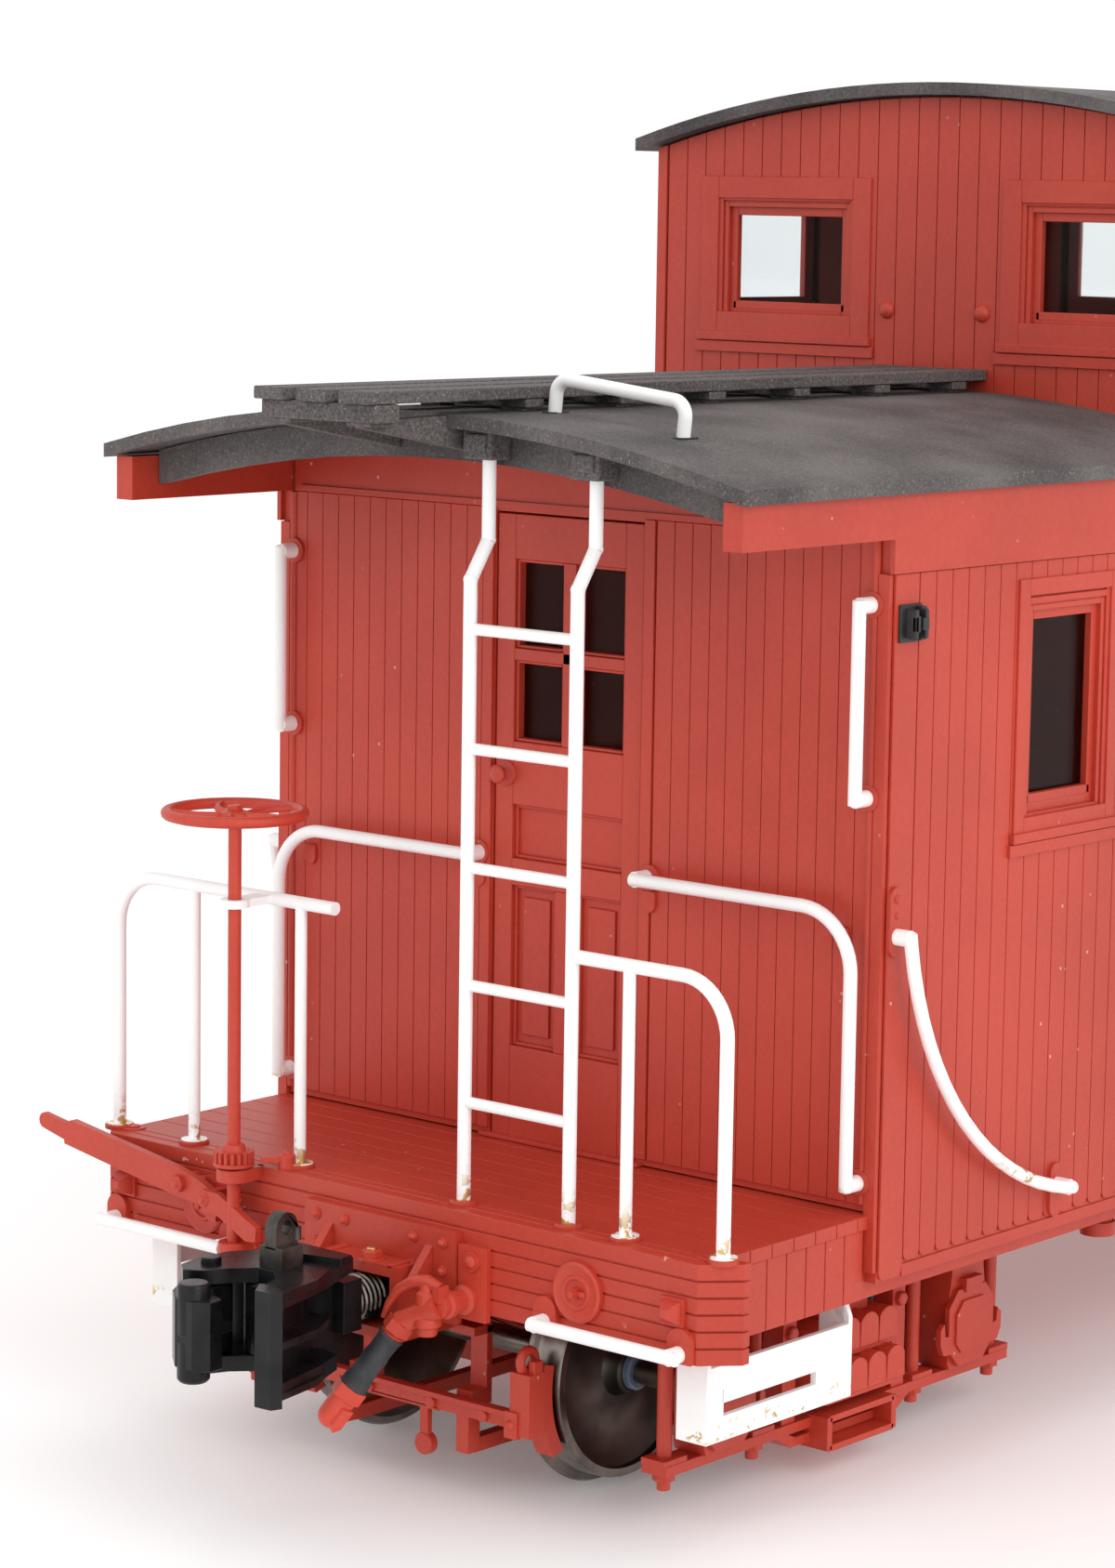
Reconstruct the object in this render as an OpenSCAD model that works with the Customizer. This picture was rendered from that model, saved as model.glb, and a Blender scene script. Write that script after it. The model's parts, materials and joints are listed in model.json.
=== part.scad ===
// Eight-wheel narrow-gauge caboose, a 1:20.3 scale model for 45 mm track.
// Millimetres. X runs along the car, Y across it, Z up from the flange bottoms.

/* [Wheels and trucks] */
// Distance between the rail heads that the wheels run on
gauge = 45; // [44.5:0.1:45.5]
// Tread diameter of a wheel
tread_d = 32.5; // [31.5:0.1:33]
// Height of a flange over the tread
flange_h = 1.5; // [1.2:0.1:1.7]
// Distance between the two axles of a truck
wheelbase = 60; // [59:0.5:62]
// Distance of a truck's pivot from the middle of the car
truck_x = 170; // [168:0.5:171]
// Diameter of an axle between its wheels
axle_d = 3.6; // [3.4:0.1:4.4]
// Outer face of a truck's side frame, from the centre line
frame_y = 43.5; // [43:0.1:44]

/* [Frame and platforms] */
// Length over the two end beams
frame_l = 450; // [448:1:456]
// Height of the platform deck
deck_z = 44; // [43.6:0.1:45]
// Length of an end beam, across the car
beam_l = 126; // [124:1:128]
// Thickness of an end beam
beam_t = 6; // [5:0.25:7]
// Depth of an end beam below the deck
beam_h = 14.3; // [13.5:0.1:14.5]
// Height of the coupler's centre
coupler_z = 30; // [29.6:0.1:30.4]

/* [Body] */
// Length over the end walls
body_l = 372; // [368:1:374]
// Width over the side walls
body_w = 120; // [119:0.5:122]
// Thickness of a wall panel
wall_t = 2; // [1.6:0.1:2.4]
// Lower edge of the side walls
side_z = 34; // [33:0.5:36]
// Width of an end doorway
door_w = 29.4; // [27:0.2:31]
// Height of an end doorway above the deck
door_h = 97; // [94:0.5:97]

/* [Roof and cupola] */
// Height of the roof's crown
crown_z = 158; // [157:0.5:162]
// Rise of the roof from its edge to the crown
roof_rise = 8; // [7:0.25:9]
// Width of the roof
roof_w = 124; // [123.5:0.5:127]
// Thickness of both roofs
roof_t = 2; // [1.6:0.1:2.4]
// Cupola wall nearest the front end
cupola_x0 = 94; // [90:1:98]
// Length of the cupola
cupola_l = 108; // [104:1:112]
// Height of the cupola roof's crown
cupola_z = 208; // [205:0.5:212]
// Width of the roof walk
walk_w = 22; // [20:0.5:24]
// How far the roof walk runs past the end of the roof
walk_out = 19; // [14:0.5:22]

/* [Rods and fittings] */
// Diameter of rails, grabs and ladder stiles
rod_d = 2; // [1.8:0.1:2.2]
// How far a grab stands off the wall
grab_out = 3.8; // [3:0.1:4.2]
// Height of the platform railing
rail_z = 84; // [80:0.5:88]
// Distance between ladder rungs
rung_pitch = 17.1; // [16:0.1:17.4]
// Diameter of the brake wheel
brake_wheel_d = 22; // [20:0.5:24]

/* [Hidden] */
$fn = 48;

red = "#B84A38";
charcoal = "#4A4644";
white = "#F4F2EE";
black = "#1B1B1C";
steel = "#4A443E";
glass = "#20282A";

frame_x = frame_l / 2;
wall_x = body_l / 2;
side_y = body_w / 2;
deck_y = side_y - wall_t;
deck_t = 2;
floor_t = 4;
floor_z = deck_z - deck_t;
sill_z = deck_z - 12.5;
beam_y = beam_l / 2;
beam_z = deck_z - beam_h;
door_x = door_w / 2;
door_gap = 0.3;
roof_x = frame_x - 2;
roof_y = roof_w / 2;
roof_r = (roof_y * roof_y + roof_rise * roof_rise) / (2 * roof_rise);
roof_c = crown_z - roof_r;
cupola_x1 = cupola_x0 - cupola_l;
cupola_y = side_y - 0.5;
cupola_eave = 3.5;
cupola_rise = 9.5;
cupola_ry = cupola_y + 3;
cupola_r = (cupola_ry * cupola_ry + cupola_rise * cupola_rise) / (2 * cupola_rise);
cupola_c = cupola_z - cupola_r;
walk_z = crown_z + 1.6;
plank_t = 1.8;
rod_r = rod_d / 2;
foot_r = rod_r + 0.2;
tread_r = tread_d / 2;
flange_r = tread_r + flange_h;
axle_z = flange_r;
axle_x = wheelbase / 2;
king_r = 1.6;

// Underside of the main roof at a distance y from the centre line
function roof_under(y) = roof_c + sqrt(pow(roof_r - roof_t, 2) - y * y);
function roof_top(y) = roof_c + sqrt(roof_r * roof_r - y * y);
function cupola_under(y) = cupola_c + sqrt(pow(cupola_r - roof_t, 2) - y * y);

wall_top = roof_under(side_y) - 0.3;
side_win_w = 20;
side_win_z = 98;
side_win_h = 32;
side_win_x = [wall_x - 44, 40, -72, -wall_x + 44];
letter_z = wall_top - 11.5;
cup_win_w = 27;
cup_win_z = 167.5;
cup_win_h = 20.5;
cup_end_y = 31.5;
cup_side_x = [cupola_x0 - cupola_l / 2 + 26, cupola_x0 - cupola_l / 2 - 26];
cupola_top = cupola_under(cupola_y) - 0.3;
rail_x = frame_x - 3.5;
stile_y = [12, 32];
post_y = beam_y - 3;
ladder_z0 = deck_z + 90.5;
ladder_z1 = deck_z + 96;
staff_x = frame_x + 3.4;
staff_y = 28;
staff_r = 1;
pin_x = frame_x - 12;
hinge_x = frame_x + 27;
hinge_y = -8.6;
journal_r = 1.5;
box_z = [axle_z - 8.6, axle_z + 7.6];
bar_top = axle_z + 10.6;
plank_x = 12;
hose_a = 2.4;
hose_l = 9.4;

// ---- helpers ----

module both_ends() {
    children();
    rotate([0, 0, 180]) children();
}

module both_sides() {
    children();
    mirror([0, 1, 0]) children();
}

module rear() {
    rotate([0, 0, 180]) children();
}

// A box between two corners
module block(a, b) {
    translate(a) cube([b[0] - a[0], b[1] - a[1], b[2] - a[2]]);
}

// A profile drawn in Y and Z, pushed along X
module along_x(x, l) {
    translate([x, 0, 0]) rotate([90, 0, 90]) linear_extrude(height = l) children();
}

// A profile drawn in X and Z, pushed along Y
module along_y(y, l) {
    translate([0, y + l, 0]) rotate([90, 0, 0]) linear_extrude(height = l) children();
}

function heading(a, b) = atan2(b[1] - a[1], b[0] - a[0]);
function bend_at(p, i) =
    let (t = heading(p[i], p[i + 1]) - heading(p[i - 1], p[i]))
    t > 180 ? t - 360 : (t < -180 ? t + 360 : t);
function cut_at(p, i, bend) = bend * tan(abs(bend_at(p, i)) / 2);

// A round rod through points in the local XY plane, all bends of one radius
module bent_rod(p, r, bend) {
    n = len(p);
    for (i = [0 : n - 2]) {
        c0 = i == 0 ? 0 : cut_at(p, i, bend);
        c1 = i == n - 2 ? 0 : cut_at(p, i + 1, bend);
        translate([p[i][0], p[i][1], 0])
            rotate([0, 0, heading(p[i], p[i + 1])])
            translate([c0, 0, 0])
            rotate([0, 90, 0])
            cylinder(r = r, h = norm(p[i + 1] - p[i]) - c0 - c1);
    }
    if (n > 2) {
        for (i = [1 : n - 2]) {
            t = bend_at(p, i);
            a = heading(p[i - 1], p[i]);
            s = t > 0 ? 1 : -1;
            translate([p[i][0], p[i][1], 0])
                rotate([0, 0, a])
                translate([-cut_at(p, i, bend), s * bend, 0])
                rotate([0, 0, s > 0 ? -90 : 90 + t])
                rotate_extrude(angle = abs(t), $fn = 96)
                translate([bend, 0])
                circle(r = r, $fn = 48);
        }
    }
}

// A straight rod between two points of the local XY plane
module rod(a, b) {
    translate([a[0], a[1], 0]) rotate([0, 0, heading(a, b)]) rotate([0, 90, 0])
        cylinder(r = rod_r, h = norm(b - a));
}

// Local XY plane stood up across the car at x, or along it at y
module across(x) { translate([x, 0, 0]) rotate([90, 0, 90]) children(); }
module lengthwise(y) { translate([0, y, 0]) rotate([90, 0, 0]) children(); }

// A short foot from a wall out to a rail, along X or along Y
module foot_x(x, y, z, l) {
    translate([x, y, z]) rotate([0, 90, 0]) cylinder(r = foot_r, h = l);
}

module foot_y(x, y, z, l) {
    translate([x, y, z]) rotate([-90, 0, 0]) cylinder(r = foot_r, h = l);
}

module roof_section(half, r, c, t) {
    difference() {
        intersection() {
            translate([0, c]) circle(r = r, $fn = 360);
            translate([-half, c + r / 2]) square([2 * half, r]);
        }
        translate([0, c]) circle(r = r - t, $fn = 360);
    }
}

// Everything below a roof's underside, for trimming what stands under it
module under_arc(half, r, c, z0) {
    intersection() {
        translate([0, c]) circle(r = r, $fn = 360);
        translate([-half, z0]) square([2 * half, c + r - z0 + 1]);
    }
}

// ---- frame and platforms ----

module underframe() color(red) {
    deck_in = frame_x - beam_t;
    difference() {
        union() {
            block([-deck_in, -deck_y, floor_z - floor_t], [deck_in, deck_y, floor_z]);
            block([-wall_x + wall_t + 0.4, -deck_y + 0.4, floor_z - 1],
                [wall_x - wall_t - 0.4, deck_y - 0.4, deck_z - 0.4]);
            both_sides() {
                block([-deck_in, deck_y - 4, sill_z], [deck_in, deck_y, floor_z]);
                block([-deck_in, 9, sill_z + 1.5], [deck_in, 12.5, floor_z]);
            }
            both_ends() block([truck_x - 4, -50, sill_z], [truck_x + 4, 50, floor_z]);
        }
        both_ends() block([frame_x - 18, -8.2, 0], [frame_x, 8.2, coupler_z + 5.6]);
    }
    both_ends() translate([truck_x, 0, 0]) {
        translate([0, 0, sill_z - 1.2]) cylinder(r = 8, h = 1.4);
        translate([0, 0, 22]) cylinder(r = king_r, h = sill_z - 22);
    }
}

module platform_decks() color(red) both_ends() {
    block([wall_x - wall_t - 0.2, -deck_y, floor_z], [frame_x - beam_t, deck_y, deck_z]);
}

module end_beams() color(red) both_ends() {
    c = 4.6;
    difference() {
        union() {
            translate([0, 0, beam_z]) linear_extrude(height = beam_h)
                polygon([[frame_x - beam_t, -beam_y], [frame_x - c, -beam_y],
                    [frame_x, -beam_y + c], [frame_x, beam_y - c],
                    [frame_x - c, beam_y], [frame_x - beam_t, beam_y]]);
            block([frame_x - 1, -staff_y - 3, deck_z - 2], [staff_x + 2.5, -staff_y + 3, deck_z]);
            block([frame_x - 1, -staff_y - 2, beam_z + 1], [staff_x + 2.2, -staff_y + 2, beam_z + 3]);
        }
        block([frame_x - beam_t - 1, -8, 0], [frame_x + 1, 8, coupler_z + 5.5]);
        translate([staff_x, -staff_y, beam_z - 2]) cylinder(r = staff_r + 0.08, h = 20);
    }
}

module draft_boxes() color(red) both_ends() {
    z0 = coupler_z - 5.6;
    z1 = coupler_z + 5.5;
    difference() {
        union() {
            block([frame_x - 17, -8, z0], [frame_x + 6, 8, z1]);
            block([frame_x, -15, z0 + 3.2], [frame_x + 1.5, 15, deck_z - 2.8]);
        }
        block([frame_x - 18, -6.4, z0 + 1.6], [frame_x + 7, 6.4, z1 - 1.6]);
    }
    translate([pin_x, 0, z0 + 1]) cylinder(r = 1.3, h = z1 - z0 - 2);
    both_sides() along_y(9.2, 1.4)
        polygon([[frame_x + 1.5, z1 - 1.5], [frame_x + 5.5, z1 - 1.5], [frame_x + 1.5, z1 + 3]]);
}

// ---- body ----

module side_walls() color(red) both_sides() {
    difference() {
        block([-wall_x, deck_y, side_z], [wall_x, side_y, wall_top]);
        for (x = side_win_x)
            block([x - side_win_w / 2, deck_y - 1, side_win_z],
                [x + side_win_w / 2, side_y + 1, side_win_z + side_win_h]);
    }
}

module end_walls() color(red) both_ends() {
    difference() {
        union() {
            along_x(wall_x - wall_t, wall_t)
                under_arc(deck_y - 0.1, roof_r - roof_t - 0.3, roof_c, deck_z + 0.3);
            along_x(wall_x, 0.7)
                under_arc(deck_y - 1, roof_r - roof_t - 0.3, roof_c, deck_z + door_h + 0.6);
        }
        block([wall_x - wall_t - 1, -door_x, deck_z], [wall_x + 1, door_x, deck_z + door_h]);
    }
}

module door_leaf() {
    dx = door_x - door_gap;
    z0 = deck_z + 0.6;
    z1 = deck_z + door_h - door_gap;
    win_y = door_x - 3.8;
    win_z0 = z1 - 34.7;
    win_z1 = z1 - 6.8;
    mid_z = (win_z0 + win_z1) / 2;
    difference() {
        block([wall_x - wall_t, -dx, z0], [wall_x, dx, z1]);
        for (y = [-win_y, 1]) {
            block([wall_x - 9, y, win_z0], [wall_x + 1, y + win_y - 1, mid_z - 1]);
            block([wall_x - 9, y, mid_z + 1], [wall_x + 1, y + win_y - 1, win_z1]);
        }
    }
    translate([wall_x - 0.2, -dx + 2.2, win_z0 - 5]) rotate([0, 90, 0]) cylinder(r = 1.9, h = 0.8);
    translate([wall_x, -dx + 2.2, win_z0 - 5]) rotate([0, 90, 0]) cylinder(r = 1.2, h = 2.6);
}

module door_pane() {
    z1 = deck_z + door_h - door_gap;
    block([wall_x - wall_t - 0.6, -door_x + 2.6, z1 - 36], [wall_x - wall_t, door_x - 2.6, z1 - 5.6]);
}

module front_door() color(red) door_leaf();
module rear_door() color(red) rear() door_leaf();
module front_door_glass() color(glass) door_pane();
module rear_door_glass() color(glass) rear() door_pane();

module window_frames() color(red) both_sides() {
    w = side_win_w / 2;
    for (x = side_win_x) difference() {
        union() {
            block([x - w - 3.4, side_y, side_win_z - 2], [x + w + 3.4, side_y + 0.8, side_win_z + side_win_h + 4]);
            block([x - w - 4.4, side_y, side_win_z - 5.4], [x + w + 4.4, side_y + 1.6, side_win_z - 2]);
        }
        block([x - w, side_y - 1, side_win_z], [x + w, side_y + 2, side_win_z + side_win_h]);
    }
}

module window_glass() color(glass) both_sides() for (x = side_win_x)
    block([x - side_win_w / 2 - 1.5, deck_y - 0.6, side_win_z - 1.5],
        [x + side_win_w / 2 + 1.5, deck_y, side_win_z + side_win_h + 1.5]);

module eave_beams() color(red) both_sides() {
    block([-wall_x - 0.8, side_y, letter_z], [wall_x + 0.8, side_y + 0.8, wall_top]);
    for (s = [0, 1]) mirror([s, 0, 0])
        block([wall_x, side_y - 2.6, wall_top - 6.6], [roof_x - 1.6, side_y + 0.8, wall_top]);
}

// ---- roof and cupola ----

module main_roof() color(charcoal) difference() {
    along_x(-roof_x, 2 * roof_x) roof_section(roof_y, roof_r, roof_c, roof_t);
    block([cupola_x1 - 0.1, -cupola_y - 0.1, 100], [cupola_x0 + 0.1, cupola_y + 0.1, 200]);
}

module end_carlines() color(charcoal) both_ends() {
    along_x(roof_x - 9.5, 2.5)
        roof_section(side_y - 2.8, roof_r - roof_t - 0.15, roof_c, 5);
    for (y = stile_y)
        block([roof_x - 7.2, y - 2.6, roof_under(y) - 4.4], [roof_x - 6.2, y + 2.6, roof_under(y) - 0.8]);
}

module roof_walks() color(charcoal) {
    w = walk_w * 0.373;
    half = walk_w * 0.127;
    spans = [[cupola_x0 + 0.4, roof_x + walk_out], [-roof_x - walk_out, cupola_x1 - 0.4]];
    for (s = spans) {
        for (i = [-1, 0, 1])
            block([s[0], i * w - half, walk_z], [s[1], i * w + half, walk_z + plank_t]);
        n = floor((s[1] - s[0] - walk_out) / 21);
        for (k = [0 : n]) {
            x = s[0] < 0 ? s[1] - 8 - 21 * k : s[0] + 8 + 21 * k;
            block([x - 2, -walk_w / 2, walk_z - 1.3], [x + 2, walk_w / 2, walk_z]);
            for (y = [-1, 1]) block([x - 1.6, y * 8 - 2, roof_top(6)], [x + 1.6, y * 8 + 2, walk_z]);
        }
        x = s[0] < 0 ? s[0] + 5 : s[1] - 5;
        block([x - 2.5, -walk_w / 2, walk_z - 2.6], [x + 2.5, walk_w / 2, walk_z]);
    }
}

module cupola_ends() color(red) {
    z0 = roof_under(0) - 8;
    for (x = [cupola_x0 - wall_t, cupola_x1]) difference() {
        along_x(x, wall_t) under_arc(cupola_y - wall_t - 0.1, cupola_r - roof_t - 0.3, cupola_c, z0);
        for (y = [-cup_end_y, cup_end_y])
            block([x - 1, y - cup_win_w / 2, cup_win_z], [x + wall_t + 1, y + cup_win_w / 2, cup_win_z + cup_win_h]);
    }
}

module cupola_sides() color(red) both_sides() difference() {
    block([cupola_x1, cupola_y - wall_t, wall_top + 0.2], [cupola_x0, cupola_y, cupola_top]);
    for (x = cup_side_x)
        block([x - cup_win_w / 2, cupola_y - wall_t - 1, cup_win_z], [x + cup_win_w / 2, cupola_y + 1, cup_win_z + cup_win_h]);
}

// A flat window surround with a deeper sill, outer face towards +Y
module cupola_surround() {
    w = cup_win_w / 2;
    difference() {
        union() {
            block([-w - 4.6, 0, cup_win_z - 1.6], [w + 4.6, 0.8, cup_win_z + cup_win_h + 4.3]);
            block([-w - 5.4, 0, cup_win_z - 4.6], [w + 5.4, 1.5, cup_win_z - 1.6]);
        }
        block([-w, -1, cup_win_z], [w, 2, cup_win_z + cup_win_h]);
    }
}

module cupola_window_frames() color(red) {
    for (y = [-cup_end_y, cup_end_y]) {
        translate([cupola_x0, y, 0]) rotate([0, 0, -90]) cupola_surround();
        translate([cupola_x1, y, 0]) rotate([0, 0, 90]) cupola_surround();
    }
    both_sides() for (x = cup_side_x) translate([x, cupola_y, 0]) cupola_surround();
}

module cupola_glass() color(glass) {
    w = cup_win_w / 2 + 1.5;
    z0 = cup_win_z - 1.5;
    z1 = cup_win_z + cup_win_h + 1.5;
    for (y = [-cup_end_y, cup_end_y]) {
        block([cupola_x0 - wall_t - 0.6, y - w, z0], [cupola_x0 - wall_t, y + w, z1]);
        block([cupola_x1 + wall_t, y - w, z0], [cupola_x1 + wall_t + 0.6, y + w, z1]);
    }
    both_sides() for (x = cup_side_x)
        block([x - w, cupola_y - wall_t - 0.6, z0], [x + w, cupola_y - wall_t, z1]);
}

module cupola_roof() color(charcoal)
    along_x(cupola_x1 - cupola_eave, cupola_l + 2 * cupola_eave)
        roof_section(cupola_ry, cupola_r, cupola_c, roof_t);

module smokejack() color(black) translate([-100, 26, 0]) {
    z0 = roof_top(33);
    difference() {
        translate([0, 0, z0 - 1]) cylinder(r = 7, h = 4.2);
        translate([0, -26, 0]) along_x(-20, 40) translate([0, roof_c]) circle(r = roof_r, $fn = 360);
    }
    translate([0, 0, roof_top(26) + 1]) cylinder(r = 4, h = 30);
    translate([0, 0, roof_top(26) + 30]) cylinder(r1 = 6.5, r2 = 4.6, h = 5);
    translate([0, 0, roof_top(26) + 34.9]) cylinder(r1 = 7.5, r2 = 1.5, h = 4);
}

// ---- rods and fittings ----

module ladders() color(white) both_ends() {
    x1 = roof_x - 6.2 + rod_r;
    for (y = stile_y) {
        lengthwise(y) {
            rod([rail_x, deck_z], [rail_x, ladder_z0]);
            rod([rail_x, ladder_z0], [x1, ladder_z1]);
            rod([x1, ladder_z1], [x1, roof_under(y) - 1]);
            translate([rail_x, ladder_z0, 0]) sphere(r = rod_r + 0.06);
            translate([x1, ladder_z1, 0]) sphere(r = rod_r + 0.06);
        }
        translate([rail_x, y, deck_z]) cylinder(r = rod_r + 0.8, h = 0.5);
    }
    for (i = [0 : 4]) translate([rail_x, stile_y[0], deck_z + 15.1 + i * rung_pitch]) rotate([-90, 0, 0])
        cylinder(r = rod_r - 0.15, h = stile_y[1] - stile_y[0]);
}

module platform_railings() color(white) both_ends() {
    across(rail_x) bent_rod([[stile_y[1] + rod_r, rail_z - 1], [post_y, rail_z - 1], [post_y, deck_z]], rod_r, 8);
    across(rail_x) bent_rod([[-14, rail_z], [-post_y, rail_z], [-post_y, deck_z]], rod_r, 8);
    for (y = [42.5, -43.5, -21])
        translate([rail_x, y, deck_z]) cylinder(r = rod_r - 0.1, h = rail_z - deck_z - (y > 0 ? 1 : 0));
    for (y = [42.5, -43.5, -21, post_y, -post_y])
        translate([rail_x, y, deck_z]) cylinder(r = rod_r + 1, h = 0.8);
    difference() {
        union() {
            block([rail_x, -staff_y - 1.6, rail_z - 0.6], [staff_x, -staff_y + 1.6, rail_z + 0.6]);
            translate([staff_x, -staff_y, rail_z - 0.6]) cylinder(r = 2.2, h = 1.2);
        }
        translate([staff_x, -staff_y, rail_z - 2]) cylinder(r = staff_r + 0.08, h = 4);
    }
}

module end_handrails() color(white) both_ends() both_sides() {
    x = wall_x + grab_out;
    y0 = door_x + 2;
    across(x) bent_rod([[y0 - 0.5, 88.3], [57, 88.3], [57, 47.8]], rod_r, 9);
    foot_x(wall_x, y0, 88.3, grab_out);
    foot_x(wall_x, 57, 48.6, grab_out);
}

module corner_grabs() color(white) both_ends() both_sides() {
    translate([wall_x + grab_out, 57, 103.7]) cylinder(r = rod_r, h = 29.2);
    foot_x(wall_x, 57, 104.5, grab_out);
    foot_x(wall_x, 57, 132.1, grab_out);
}

module side_handrails() color(white) both_ends() both_sides() {
    y = side_y + grab_out - 0.3;
    cx = wall_x - 53.4;
    cz = 92.7;
    r = 52.4;
    translate([cx, y, cz]) rotate([90, 0, 0]) rotate([0, 0, -81])
        rotate_extrude(angle = 73, $fn = 180) translate([r, 0]) circle(r = rod_r, $fn = 48);
    for (a = [-80.2, -8.8]) foot_y(cx + r * cos(a), side_y, cz + r * sin(a), y - side_y);
}

// A grab across the end of the roof, tipped to the roof's slope
module roof_grabs() color(white) both_ends() {
    tip = atan2(roof_top(37) - roof_top(13), 24);
    across(roof_x - 18) translate([13, roof_top(13), 0]) rotate([0, 0, tip])
        bent_rod([[0, 0.1], [0, 5], [24, 5], [24, 0.1]], rod_r, 2.2);
}

module beam_grabs() color(white) both_ends() both_sides() {
    x = frame_x + 3.2;
    z = beam_z + 1.4;
    translate([x, beam_y - 32.2, z]) rotate([-90, 0, 0]) cylinder(r = rod_r, h = 26.6);
    foot_x(frame_x, beam_y - 31.5, z, 3.2);
    foot_x(frame_x, beam_y - 7, z, 3.2);
}

// An open box hung below the platform, slotted in front
module side_steps() color(white) both_ends() both_sides() {
    x0 = wall_x - 0.8;
    x1 = frame_x - beam_t - 0.2;
    y1 = deck_y - 2.5;
    y0 = y1 - 5.5;
    z0 = sill_z - 15.2;
    difference() {
        block([x0, y1 - 1.2, z0], [x1, y1, z0 + 11]);
        block([x0 + 8.6, y1 - 3, z0 + 3.6], [x1 - 1.4, y1 + 1, z0 + 5.6]);
    }
    block([x0, y0, z0], [x0 + 1.2, y1, sill_z]);
    block([x1 - 1.2, y0, z0], [x1, y1, sill_z]);
    block([x0, y0, z0], [x1, y1, z0 + 1.2]);
    block([x0 - 6, y0, sill_z - 1], [x0 + 1, y1, sill_z]);
    block([x1 - 6.5, y0, sill_z - 1], [x1, y1, sill_z]);
}

module marker_brackets() color(black) both_ends() both_sides() {
    block([wall_x - 6, side_y, 126.8], [wall_x - 0.8, side_y + 0.8, 132.2]);
    block([wall_x - 5, side_y, 128], [wall_x - 4, side_y + 2.8, 131.4]);
    block([wall_x - 2.6, side_y, 128], [wall_x - 1.6, side_y + 2.8, 131.4]);
}

// The uncoupling lever, a flat bar hung from the beam on one bracket
module cut_levers() color(red) both_ends() {
    translate([frame_x + 1.4, -40, deck_z - 5]) {
        rotate([7, 0, 0]) block([0, -31, -1.9], [1.2, 1, 1.9]);
        rotate([17, 0, 0]) {
            block([0, -1, -1.7], [1.2, 7.5, 1.7]);
        }
        rotate([0, 90, 0]) translate([0, 0, -1.4]) cylinder(r = 2.2, h = 3.6);
    }
}

module angle_cocks() color(red) both_ends() {
    block([frame_x + 0.1, 15.4, beam_z - 1], [frame_x + 1.2, 20.5, deck_z - 4.4]);
    translate([frame_x + 1.1, 16.8, beam_z + 2]) rotate([0, 90, 0]) cylinder(r = 1.7, h = 6);
    translate([frame_x + 6.8, 16.8, beam_z + 2]) rotate([116, -8, 0]) cylinder(r = 1.8, h = 6.2);
    translate([frame_x + 6.8, 14.6, beam_z - 2.4]) cylinder(r = 1.5, h = 7.4);
    hose_line() cylinder(r = 2.2, h = hose_a, $fn = 6);
}

// Local frame at the top of the hose, +Z down along it
module hose_line() translate([frame_x + 8.2, 10.8, beam_z - 1.2]) rotate([152, -23, 0]) children();

// A short rubber hose from the angle cock's ferrule to the coupling head
module air_hoses() color(black) both_ends() hose_line()
    translate([0, 0, hose_a]) cylinder(r = 1.9, h = hose_l);

module hose_heads() color(red) both_ends() hose_line() translate([0, 0, hose_a + hose_l]) {
    cylinder(r = 2.5, h = 2.2, $fn = 6);
    translate([0, 0, 2]) cylinder(r = 2, h = 5.6);
}

module brake_cylinder() color(red) {
    z = floor_z - floor_t - 9;
    translate([-20, 24, z]) rotate([0, 90, 0]) cylinder(r = 7.5, h = 30);
    translate([10, 24, z]) rotate([0, 90, 0]) cylinder(r = 2, h = 10);
    translate([-60, -26, z]) rotate([0, 90, 0]) cylinder(r = 8, h = 44);
    for (x = [-14, 2]) block([x, 20, z], [x + 4, 28, floor_z - floor_t]);
    for (x = [-52, -28]) block([x, -30, z], [x + 4, -22, floor_z - floor_t]);
}

// Flanged drain castings under the side sills
module drain_castings() color(red) both_ends() translate([112, deck_y - 8.6, 0]) {
    z1 = floor_z - floor_t;
    translate([0, 0, z1 - 4]) cylinder(r = 4.2, h = 4);
    translate([0, 0, z1 - 10]) cylinder(r1 = 2.2, r2 = 3.6, h = 6.2);
    translate([0, 0, z1 - 12]) cylinder(r = 2.8, h = 2.2);
}

module brake_wheel() translate([staff_x, -staff_y, 0]) {
    z = rail_z + 13;
    translate([0, 0, beam_z - 1]) cylinder(r = staff_r, h = z + 2.6 - beam_z);
    translate([0, 0, beam_z - 1.6]) cylinder(r = 1.5, h = 1.4);
    translate([0, 0, deck_z + 0.2]) cylinder(r = 3.2, h = 2);
    translate([0, 0, z - 0.9]) cylinder(r = 2.2, h = 2.6);
    translate([0, 0, z]) rotate_extrude() translate([brake_wheel_d / 2 - 0.9, 0]) circle(r = 0.9);
    for (a = [0 : 72 : 288]) rotate([0, 0, a]) translate([1, 0, z]) rotate([0, 90, 0])
        cylinder(r = 0.55, h = brake_wheel_d / 2 - 1.9);
}

module front_brake_wheel() color(red) brake_wheel();
module rear_brake_wheel() color(red) rear() brake_wheel();

// ---- couplers ----

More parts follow.
